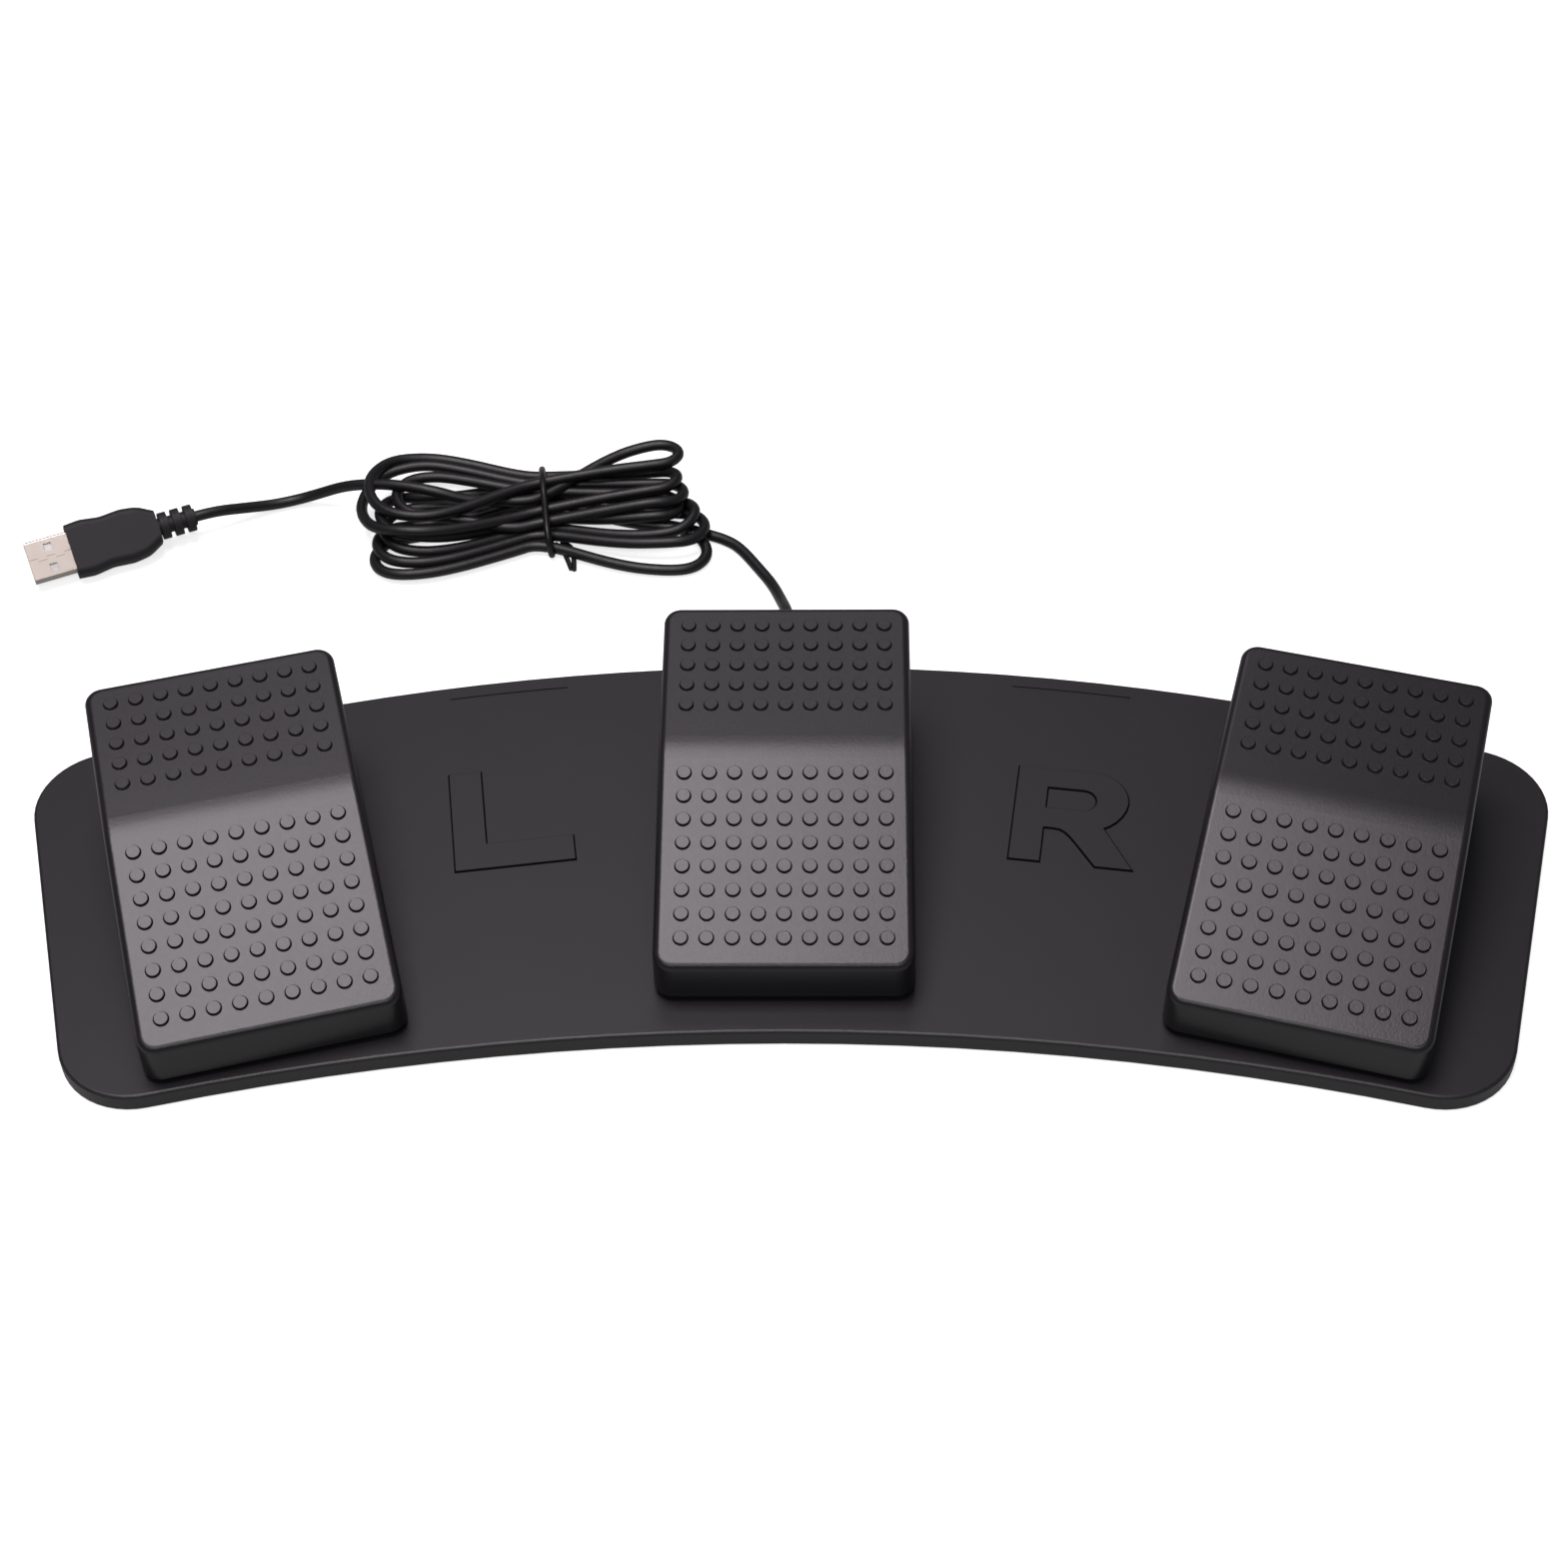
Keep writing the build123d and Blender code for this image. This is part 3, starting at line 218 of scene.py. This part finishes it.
# the camera stands where the photograph was taken from
view = {
    "x": 13.85, "y": -489.91, "z": 564.33, "lens": 65.07, "sensor": 36.0, "shift": -0.00064,
    "right": (0.99982, 0.01155, -0.01536), "up": (0.00201, 0.7322, 0.68109), "nearest": 0.01,
}
cameraData = bpy.data.cameras.new("photo_camera")
cameraData.lens = view["lens"]
cameraData.sensor_width = view["sensor"]
cameraData.shift_x = view["shift"]
cameraData.shift_y = view["shift"]
cameraData.clip_start = view["nearest"]
camera = bpy.data.objects.new("photo_camera", cameraData)
bpy.context.scene.collection.objects.link(camera)
cameraRight = Vector(view["right"])
cameraUp = Vector(view["up"])
cameraBack = cameraRight.cross(cameraUp).normalized()
turn = Matrix((cameraRight, cameraUp, cameraBack)).transposed().to_4x4()
camera.matrix_world = Matrix.Translation(Vector((view["x"], view["y"], view["z"])) * mm) @ turn
bpy.context.scene.camera = camera
print("camera placed")

# the whole cord is one length: from the gland, through the hank, to the plug
cordPlan = {
    "width": 3.3, "start": (0.0, 78.452, 10.5),
    "lead": [(0.0, 85.9, 10.5), (-0.8, 93.9, 8.4), (-2.6, 102.6, 4.3), (-5.3, 112.0, 1.8), (-9.4, 118.9, 1.7),
             (-15.3, 128.3, 1.7), (-20.1, 131.8, 1.7)],
    "tail": [(-86.6, 142.9, 7.2), (-95.3, 141.2, 8.7), (-105.9, 141.9, 12.2), (-118.0, 144.8, 12.2),
             (-127.9, 146.8, 10.5), (-134.6, 148.2, 8.2), (-141.4, 149.5, 4.6), (-148.0, 149.5, 2.3),
             (-155.0, 147.2, 2.3), (-162.2, 143.6, 4.3)],
    "plug": (-176.2, 136.3, 7.35), "plugRun": 5.6,
}
hankPlan = {
    "x": -77.9, "y": 141.5, "waistHalf": 4.0, "tip": 4.2, "roundness": 0.72, "fan": 0.6, "belly": 0.8,
    "tipSwell": 1.06, "sideSwell": 1.08,
    # the cord slips in under the turns at the right end
    "entry": [(-24.5, 133.7, 1.65), (-31.5, 136.6, 1.65), (-41.0, 139.0, 1.65), (-55.0, 141.2, 1.65)],
    # where each run passes the tie: across, up and how far it is turned
    "waist": [(1.85, 2.8, 0.8), (-14.2, 2.8, 2.0), (5.55, 3.6, 0.3), (-10.4, 3.2, 2.0), (9.25, 2.8, 0.2),
              (-6.8, 2.8, 1.9), (12.95, 2.8, 0.0), (-3.0, 2.8, 1.8), (6.9, 6.3, -0.4), (-8.4, 5.9, 1.6),
              (10.4, 6.0, -0.4), (-4.8, 7.4, 1.8), (13.6, 6.0, -0.3), (4.6, 10.4, 1.6), (0.6, 8.0, 0.6)],
    # each turn as it was wound, left and right by turns: its end, its far and near strand, then how high the far
    # strand, the tip and the near strand lie
    "turns": [
        (44.6, -8.5, -26.7, 1.7, 1.7, 3.3), (53.2, -7.3, -23.9, 4.2, 1.7, 2.0), (44.0, -3.5, -23.3, 1.7, 4.5, 4.7),
        (52.5, 0.6, -16.7, 2.8, 5.2, 6.7), (42.3, 0.4, -19.2, 5.8, 6.4, 5.4), (49.5, 4.6, -12.6, 3.2, 7.8, 6.1),
        (43.6, 5.9, -16.2, 4.5, 9.2, 8.8), (44.7, 3.9, -6.7, 7.8, 6.7, 8.2), (39.3, 10.3, -7.2, 9.3, 9.5, 8.9),
        (46.0, 9.1, -4.4, 7.0, 9.2, 11.5), (49.6, 15.7, -17.8, 9.4, 7.7, 12.4), (44.0, 12.7, 0.9, 8.2, 11.6, 11.5),
        (47.5, 19.1, -11.7, 9.0, 12.4, 12.3), (44.1, 21.6, 11.2, 11.7, 12.4, 12.4),
    ],
}


def hankLine(plan):
    # control points of the wound part: a few along each run, and some round each turn
    line = list(plan["entry"])

    def put(along, across, up):
        line.append((plan["x"] + along, plan["y"] + across, up))

    def between(first, second, share):
        return first * (1 - share) + second * share

    def strand(turn, far):
        # how far across and how high a turn's far or near strand lies
        return (turn[1], turn[3]) if far else (turn[2], turn[5])

    for run, (across, up, slant) in enumerate(plan["waist"]):
        # the runs go left on the far side and come back on the near side
        far = run % 2 == 0
        heading = -1 if far else 1

        def fan(turn, way):
            # where the strands of the bundle part, and the foot of the turn
            strandAcross, strandUp = strand(turn, far)
            foot = turn[0] - plan["tip"] - plan["roundness"] * (turn[1] - turn[2]) / 2
            halfway = (way * between(plan["waistHalf"], foot, plan["fan"]),
                       between(across, strandAcross, plan["belly"]), between(up, strandUp, plan["fan"]))
            return foot, [halfway, (way * foot, strandAcross, strandUp)]

        if run:
            for point in reversed(fan(plan["turns"][run - 1], -heading)[1]):
                put(*point)
        put(-heading * plan["waistHalf"], across - heading * slant, up)
        put(heading * plan["waistHalf"], across + heading * slant, up)
        if run < len(plan["turns"]):
            turn = plan["turns"][run]
            foot, points = fan(turn, heading)
            for point in points:
                put(*point)
            (thisAcross, thisUp), (otherAcross, otherUp) = strand(turn, far), strand(turn, not far)
            middle, radius = (turn[1] + turn[2]) / 2, (thisAcross - otherAcross) / 2
            for angle in (45, 90, 135):
                slope = math.radians(angle)
                put(heading * (foot + plan["tipSwell"] * (turn[0] - foot) * math.sin(slope)),
                    middle + plan["sideSwell"] * radius * math.cos(slope),
                    between(thisUp if angle < 90 else otherUp, turn[4], math.sin(slope) ** 2))
    return line


def roundLine(name, points, width, roundness, closed=False):
    # a round line that runs smoothly along its points; a higher roundness gives its section more sides
    curve = bpy.data.curves.new(name, "CURVE")
    curve.dimensions = "3D"
    curve.resolution_u = 6
    curve.bevel_depth = width / 2 * mm
    curve.bevel_resolution = roundness
    curve.use_fill_caps = True
    line = curve.splines.new("NURBS")
    line.points.add(len(points) - 1)
    for point, place in zip(line.points, points):
        point.co = (*(Vector(place) * mm), 1.0)
    line.order_u = 3
    line.use_cyclic_u = closed
    line.use_endpoint_u = not closed
    made = bpy.data.objects.new(name, curve)
    bpy.context.scene.collection.objects.link(made)
    return made


heading = math.radians(plugLie["heading"])
plugEnd = Vector(cordPlan["plug"])
beforePlug = plugEnd - Vector((math.cos(heading), math.sin(heading), 0)) * cordPlan["plugRun"]
hankPoints = hankLine(hankPlan)
cordPoints = [cordPlan["start"], *cordPlan["lead"], *hankPoints, *cordPlan["tail"], tuple(beforePlug), tuple(plugEnd)]
cord = roundLine("usb_cord", cordPoints, cordPlan["width"], roundness=5)
cord.data.materials.append(cordPvc)
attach(cord, "root")
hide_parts("cord_lead", "cord_hank", "cord_tail")
print("cord laid")


def deselect():
    bpy.ops.object.select_all(action="DESELECT")


def makeActive(piece):
    deselect()
    piece.select_set(True)
    bpy.context.view_layer.objects.active = piece


def joined(pieces):
    deselect()
    for piece in pieces:
        piece.select_set(True)
    bpy.context.view_layer.objects.active = pieces[0]
    bpy.ops.object.join()
    return bpy.context.object


def softShade(degrees):
    # smooth shading but for edges sharper than this
    bpy.ops.object.shade_smooth_by_angle(angle=math.radians(degrees))


def applyPlace():
    bpy.ops.object.transform_apply(location=True, rotation=True, scale=True)


def repeat(piece, count, step):
    # copies of a piece in a row, step apart in mm
    array = piece.modifiers.new("repeat", "ARRAY")
    array.count = count
    array.use_relative_offset = False
    array.use_constant_offset = True
    array.constant_offset_displace = [v * mm for v in step]


def applyModifiers(piece):
    makeActive(piece)
    for modifier in list(piece.modifiers):
        bpy.ops.object.modifier_apply(modifier=modifier.name)


def settle(piece, matrix=None):
    # writes the place into the mesh, so that the object itself sits at the origin
    if matrix is not None:
        piece.matrix_world = matrix @ piece.matrix_world
    makeActive(piece)
    applyPlace()


def dress(piece, name, material, slot, body, *nodes):
    piece.name = name
    piece.data.materials.clear()
    piece.data.materials.append(material)
    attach(piece, body)
    if nodes:
        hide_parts(*nodes)


def wireMesh(name, points, width, closed=False):
    makeActive(roundLine(name, points, width, roundness=4, closed=closed))
    bpy.ops.object.convert(target="MESH")
    return bpy.context.object


# a coated wire goes round the hank's waist, a little aslant, and its twisted ends stick out below
twistTie = {
    "wire": 2.0, "tailWire": 1.5,
    "band": [(-70.6, 127.4, 1.1), (-70.3, 124.9, 1.4), (-70.6, 124.6, 4.6), (-71.2, 126.6, 8.6), (-72.0, 132.4, 10.2),
             (-72.9, 139.6, 10.6), (-73.6, 145.0, 12.6), (-74.2, 150.0, 11.6), (-74.8, 155.4, 9.0), (-75.2, 157.9, 5.6),
             (-75.2, 157.6, 1.5), (-74.6, 154.0, 1.1), (-72.6, 141.0, 1.1)],
    "tails": [[(-69.6, 130.6, 1.0), (-68.0, 128.6, 1.3), (-66.4, 125.6, 1.5), (-64.4, 119.6, 1.2)],
              [(-68.0, 131.6, 1.0), (-65.6, 130.0, 1.3), (-63.9, 126.4, 1.5), (-63.5, 119.2, 1.2)]],
}
bands = [wireMesh("tie_band", twistTie["band"], twistTie["wire"], closed=True)]
bands += [wireMesh("tie_end", tail, twistTie["tailWire"]) for tail in twistTie["tails"]]
tie = joined(bands)
settle(tie)
softShade(50)
dress(tie, "twist_tie", tiePvc, "tie_wire", "root", "cable_tie")
print("tie closed")

# the plug lies with its contacts down: the white tongue shows right under the shell's windows
plugInside = {
    "reach": 14.4, "setback": 0.8, "width": 11.0, "top": 1.75, "bottom": -0.15, "edge": 0.12,
    "contacts": 4, "contactPitch": 2.3, "contactLength": 7.4, "contactWidth": 1.2, "contactThickness": 0.25,
    "contactSetback": 1.6,
}


def plugBar(along, across, up, middle):
    # a bar with broken edges, its middle given from the plug's tip
    deselect()
    bpy.ops.mesh.primitive_cube_add(size=1, location=[v * mm for v in middle])
    bar = bpy.context.object
    bar.scale = (along * mm, across * mm, up * mm)
    applyPlace()
    bpy.ops.object.mode_set(mode="EDIT")
    bpy.ops.mesh.select_all(action="SELECT")
    bpy.ops.mesh.bevel(offset=min(plugInside["edge"], up / 4) * mm, segments=2)
    bpy.ops.object.mode_set(mode="OBJECT")
    return bar


plugPlace = Matrix.Translation(Vector(plugLie["tip"]) * mm) @ Matrix.Rotation(math.radians(plugLie["heading"]), 4, "Z")
plugPlace = plugPlace @ Matrix.Rotation(math.radians(-plugLie["roll"]), 4, "X")
tongue = plugBar(plugInside["reach"], plugInside["width"], plugInside["top"] - plugInside["bottom"],
                 (-plugInside["setback"] - plugInside["reach"] / 2, 0, (plugInside["top"] + plugInside["bottom"]) / 2))
settle(tongue, plugPlace)
softShade(40)
dress(tongue, "plug_white_tongue", tonguePbt, "plug_tongue", "root", "plug_tongue")
contacts = plugBar(plugInside["contactLength"], plugInside["contactWidth"], plugInside["contactThickness"],
                   (-plugInside["contactSetback"] - plugInside["contactLength"] / 2,
                    -(plugInside["contacts"] - 1) / 2 * plugInside["contactPitch"],
                    plugInside["bottom"] - plugInside["contactThickness"] / 2))
repeat(contacts, plugInside["contacts"], (0, plugInside["contactPitch"], 0))
applyModifiers(contacts)
settle(contacts, plugPlace)
softShade(40)
dress(contacts, "plug_gold_contacts", contactGold, "gold_contact", "root", "plug_contacts")
print("plug filled")

# the pedals stand round the centre of the board's arc
board = {"centreY": -474.05, "top": 5.4, "pedalRadius": 486.4, "pedalSpread": 16.69, "pedalYaw": 15.0, "creaseZ": 38.3}
sides = {"left": -1, "centre": 0, "right": 1}


def pedalPlace(sign):
    angle = math.radians(board["pedalSpread"]) * sign
    x, y = board["pedalRadius"] * math.sin(angle), board["centreY"] + board["pedalRadius"] * math.cos(angle)
    return Matrix.Translation((x * mm, y * mm, 0)) @ Matrix.Rotation(math.radians(-board["pedalYaw"]) * sign, 4, "Z")


# round grip studs stand over the plain ones of the solid
stud = {"foot": 4.05, "crown": 3.4, "height": 0.76, "sides": 20, "edge": 0.06, "pitch": 6.45, "columns": 9}
# the two faces of a cover: how they slope from the crease, and where their first row stands
fields = [
    {"rows": 8, "slope": 19.0, "first": -7.45 - 7 * stud["pitch"]},
    {"rows": 5, "slope": 8.5, "first": 13.15},
]


def pickFaces(piece, side):
    # selects the faces that look straight up (side 1) or down (side -1)
    straight = 0.9
    edit = bmesh.from_edit_mesh(piece.data)
    for face in edit.faces:
        face.select_set(face.normal.z * side > straight)
    bmesh.update_edit_mesh(piece.data)


def studField(field):
    # one stud, repeated along the columns and then the rows
    deselect()
    bpy.ops.mesh.primitive_cone_add(vertices=stud["sides"], depth=stud["height"] * mm, radius1=stud["foot"] / 2 * mm,
                                    radius2=stud["crown"] / 2 * mm, location=(0, 0, stud["height"] / 2 * mm))
    piece = bpy.context.object
    applyPlace()
    bpy.ops.object.mode_set(mode="EDIT")
    pickFaces(piece, 1)
    bpy.ops.mesh.select_mode(type="EDGE")
    bpy.ops.mesh.bevel(offset=stud["edge"] * mm, segments=1)
    bpy.ops.mesh.select_mode(type="FACE")
    bpy.ops.mesh.select_all(action="DESELECT")
    pickFaces(piece, -1)
    bpy.ops.mesh.delete(type="FACE")
    bpy.ops.object.mode_set(mode="OBJECT")
    repeat(piece, stud["columns"], (stud["pitch"], 0, 0))
    repeat(piece, field["rows"], (0, stud["pitch"], 0))
    applyModifiers(piece)
    start = Vector((-(stud["columns"] - 1) / 2 * stud["pitch"], field["first"], 0)) * mm
    slope = Matrix.Translation((0, 0, board["creaseZ"] * mm)) @ Matrix.Rotation(math.radians(field["slope"]), 4, "X")
    settle(piece, slope @ Matrix.Translation(start))
    return piece


for sideName, sign in sides.items():
    studs = joined([studField(field) for field in fields])
    settle(studs, pedalPlace(sign))
    softShade(20)
    dress(studs, sideName + "_grip_studs", coverAbs, "cover_shell", sideName + "_cover")
print("grip studs set")

# raised marks on the board: a letter for each side and a short bar behind it
marks = {
    "height": 0.45, "edge": 0.12, "gap": 0.42, "gapHeight": 0.05,
    "barRadius": 544.5, "barWidth": 0.9, "barHeight": 0.3, "barEdge": 0.24, "barSteps": 8,
    # where each bar starts and stops round the board's arc, in degrees
    "bars": {"left_bar": (99.97, 96.52), "right_bar": (83.46, 80.03)},
}
letterL = {
    "x": -86.7, "y": 472.4, "turn": 8.1,
    "outline": [(0, 0), (31.4, 0), (31.4, 8.4), (8.4, 8.4), (8.4, 34.8), (0, 34.8)],
}


def arcPoints(cx, cy, rx, ry, start, stop, steps):
    angles = [math.radians(start + (stop - start) * i / steps) for i in range(steps + 1)]
    return [(cx + rx * math.cos(angle), cy + ry * math.sin(angle)) for angle in angles]


letterR = {
    "x": 58.2, "y": 476.9, "turn": -7.9,
    # stem, crotch and leg, then the bowl
    "outline": [(0, 0), (8.0, 0), (8.0, 12.2), (10.6, 12.2), (12.4, 12.0), (13.9, 11.2), (15.5, 9.6), (17.2, 7.4),
                (22.6, 0), (32.2, 0), (23.8, 13.6), (25.4, 14.7), (27.0, 16.3), (28.4, 18.4), (29.4, 20.8),
                (29.8, 23.3), *arcPoints(19.6, 23.3, 10.2, 10.1, 8, 90, 9), (0, 33.4)],
    "hole": [(8.0, 19.0), (17.6, 19.0), *arcPoints(17.9, 22.85, 3.7, 3.85, -80, 90, 9), (8.0, 26.7)],
}


def flatMark(name, outlines, height, edgeWidth, place, wider=0.0):
    # a flat filled curve with thickness, made a mesh, with a small bevel; wider lets its outline grow
    curve = bpy.data.curves.new(name, "CURVE")
    curve.dimensions = "2D"
    curve.fill_mode = "BOTH"
    curve.extrude = height * mm
    curve.offset = wider * mm
    for outline in outlines:
        line = curve.splines.new("POLY")
        line.points.add(len(outline) - 1)
        for point, (x, y) in zip(line.points, outline):
            point.co = (x * mm, y * mm, 0, 1)
        line.use_cyclic_u = True
    made = bpy.data.objects.new(name, curve)
    bpy.context.scene.collection.objects.link(made)
    makeActive(made)
    bpy.ops.object.convert(target="MESH")
    made = bpy.context.object
    if edgeWidth:
        edge = made.modifiers.new("soft edge", "BEVEL")
        edge.width = edgeWidth * mm
        edge.segments = 2
        edge.limit_method = "ANGLE"
        applyModifiers(made)
    settle(made, place)
    softShade(35)
    return made


for name, letter in (("left_letter", letterL), ("right_letter", letterR)):
    place = Matrix.Translation(Vector((letter["x"], letter["y"] + board["centreY"], board["top"])) * mm)
    place = place @ Matrix.Rotation(math.radians(letter["turn"]), 4, "Z")
    outlines = [letter["outline"]] + ([letter["hole"]] if "hole" in letter else [])
    piece = flatMark(name, outlines, marks["height"], marks["edge"], place)
    dress(piece, name, boardAbs, "base_shell", "root")
    # a letter is let into the board with a narrow gap round it: the gap is a thin sheet a little wider than the letter,
    # and its dark colour is painted shade
    gap = flatMark(name + "_gap", outlines, marks["gapHeight"], 0, place, marks["gap"])
    dress(gap, name + "_gap", gapAbs, "base_shell", "root")
for name, (first, last) in marks["bars"].items():
    nearRadius, farRadius = marks["barRadius"] - marks["barWidth"] / 2, marks["barRadius"] + marks["barWidth"] / 2
    near = arcPoints(0, 0, nearRadius, nearRadius, first, last, marks["barSteps"])
    far = arcPoints(0, 0, farRadius, farRadius, last, first, marks["barSteps"])
    place = Matrix.Translation(Vector((0, board["centreY"], board["top"])) * mm)
    piece = flatMark(name, [near + far], marks["barHeight"], marks["barEdge"], place)
    dress(piece, name, boardAbs, "base_shell", "root")
print("marks raised")

# each return spring is a real coil of round wire
coil = {
    "radius": 4.05, "wire": 0.9, "sides": 10, "foot": 12.4, "length": 21.0, "turns": 7, "steps": 32, "place": 9.0,
    "keep": 0.834,
}


def returnSpring(name, sign):
    deselect()
    bpy.ops.mesh.primitive_circle_add(vertices=coil["sides"], radius=coil["wire"] / 2 * mm,
                                      rotation=(math.pi / 2, 0, 0),
                                      location=(coil["radius"] * mm, 0, coil["wire"] / 2 * mm))
    spring = bpy.context.object
    applyPlace()
    screw = spring.modifiers.new("coil", "SCREW")
    screw.iterations = coil["turns"]
    screw.screw_offset = (coil["length"] - coil["wire"]) / coil["turns"] * mm
    screw.steps = coil["steps"]
    screw.render_steps = coil["steps"]
    screw.use_merge_vertices = False
    applyModifiers(spring)
    bpy.ops.object.mode_set(mode="EDIT")
    bpy.ops.mesh.select_all(action="DESELECT")
    bpy.ops.mesh.select_mode(type="EDGE")
    bpy.ops.mesh.select_non_manifold()
    bpy.ops.mesh.edge_face_add()
    bpy.ops.mesh.select_all(action="SELECT")
    bpy.ops.mesh.normals_make_consistent(inside=False)
    bpy.ops.object.mode_set(mode="OBJECT")
    softShade(50)
    settle(spring, pedalPlace(sign) @ Matrix.Translation(Vector((0, coil["place"], coil["foot"])) * mm))
    dress(spring, name + "_coil_spring", springSteel, "spring_steel", "root", name + "_return_spring")
    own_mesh(spring)


for sideName, sign in sides.items():
    returnSpring(sideName, sign)
print("springs wound")


def seenRays(tree, mirroredShare):
    # 1 for rays that show the background itself, straight or through glass, and a share for mirrored rays
    rays = addNode(tree, "ShaderNodeLightPath")
    straight = addNode(tree, "ShaderNodeMath", {"operation": "MAXIMUM"},
                       links={0: rays.outputs["Is Camera Ray"], 1: rays.outputs["Is Transmission Ray"]}).outputs[0]
    mirrored = addNode(tree, "ShaderNodeMath", {"operation": "MULTIPLY"}, {1: mirroredShare},
                       {0: rays.outputs["Is Glossy Ray"]}).outputs[0]
    return addNode(tree, "ShaderNodeMath", {"operation": "MAXIMUM"}, links={0: straight, 1: mirrored}).outputs[0]


# a pale floor that stays white to the camera and keeps a soft shadow; the shares say how much of it mirrored rays see
stageLook = {
    "size": 6.0, "paper": "#f4f4f4", "glow": 0.8, "bounce": "#5a5a5a", "floorShare": 0.28, "worldShare": 0.03,
    "backdrop": "#ffffff", "fill": "#e4e2ea", "fillStrength": 0.09,
}
deselect()
bpy.ops.mesh.primitive_plane_add(size=stageLook["size"], location=(0, 0, 0))
floor = bpy.context.object
floor.name = "studio_floor"
floorMaterial = bpy.data.materials.new("studio_paper")
floorMaterial.use_nodes = True
floorTree = floorMaterial.node_tree
floorTree.nodes.clear()
paper = addNode(floorTree, "ShaderNodeBsdfDiffuse", inputs={"Color": linear(stageLook["paper"])})
glow = addNode(floorTree, "ShaderNodeEmission",
               inputs={"Color": linear(stageLook["paper"]), "Strength": stageLook["glow"]})
bright = addNode(floorTree, "ShaderNodeAddShader", links={0: paper.outputs[0], 1: glow.outputs[0]})
dim = addNode(floorTree, "ShaderNodeBsdfDiffuse", inputs={"Color": linear(stageLook["bounce"])})
seen = addNode(floorTree, "ShaderNodeMixShader",
               links={0: seenRays(floorTree, stageLook["floorShare"]), 1: dim.outputs[0], 2: bright.outputs[0]})
addNode(floorTree, "ShaderNodeOutputMaterial", links={"Surface": seen.outputs[0]})
floor.data.materials.append(floorMaterial)

world = bpy.data.worlds.new("studio")
world.use_nodes = True
worldTree = world.node_tree
worldTree.nodes.clear()
plain = addNode(worldTree, "ShaderNodeBackground", inputs={"Color": linear(stageLook["backdrop"]), "Strength": 1.0})
low = addNode(worldTree, "ShaderNodeBackground",
              inputs={"Color": linear(stageLook["fill"]), "Strength": stageLook["fillStrength"]})
worldMix = addNode(worldTree, "ShaderNodeMixShader",
                   links={0: seenRays(worldTree, stageLook["worldShare"]), 1: low.outputs[0], 2: plain.outputs[0]})
addNode(worldTree, "ShaderNodeOutputWorld", links={"Surface": worldMix.outputs[0]})
bpy.context.scene.world = world

lampAim = Vector((0, 0.03, 0))
lamps = [
    {"name": "overhead_softbox", "place": (-0.24, 0.05, 1.5), "wide": 0.7, "deep": 0.82, "watts": 14.5,
     "tint": "#fff6fb"},
    {"name": "rear_softbox", "place": (-0.15, 1.1, 1.5), "wide": 0.9, "deep": 0.6, "watts": 1.85, "tint": "#fdf7ff"},
    {"name": "front_strip", "place": (-0.1, -0.95, 1.3), "wide": 1.3, "deep": 0.25, "watts": 5, "tint": "#ffffff"},
]
for lamp in lamps:
    lampData = bpy.data.lights.new(lamp["name"], "AREA")
    lampData.shape = "RECTANGLE"
    lampData.size = lamp["wide"]
    lampData.size_y = lamp["deep"]
    lampData.energy = lamp["watts"]
    lampData.color = linear(lamp["tint"])[:3]
    light = bpy.data.objects.new(lamp["name"], lampData)
    # it looks at the board, and its wide side stays along it
    back = (Vector(lamp["place"]) - lampAim).normalized()
    across = Vector((0, 1, 0)).cross(back).normalized()
    turn = Matrix((across, back.cross(across), back)).transposed().to_4x4()
    light.matrix_world = Matrix.Translation(lamp["place"]) @ turn
    bpy.context.scene.collection.objects.link(light)
print("studio lit")

bpy.context.scene.view_settings.view_transform = "Standard"
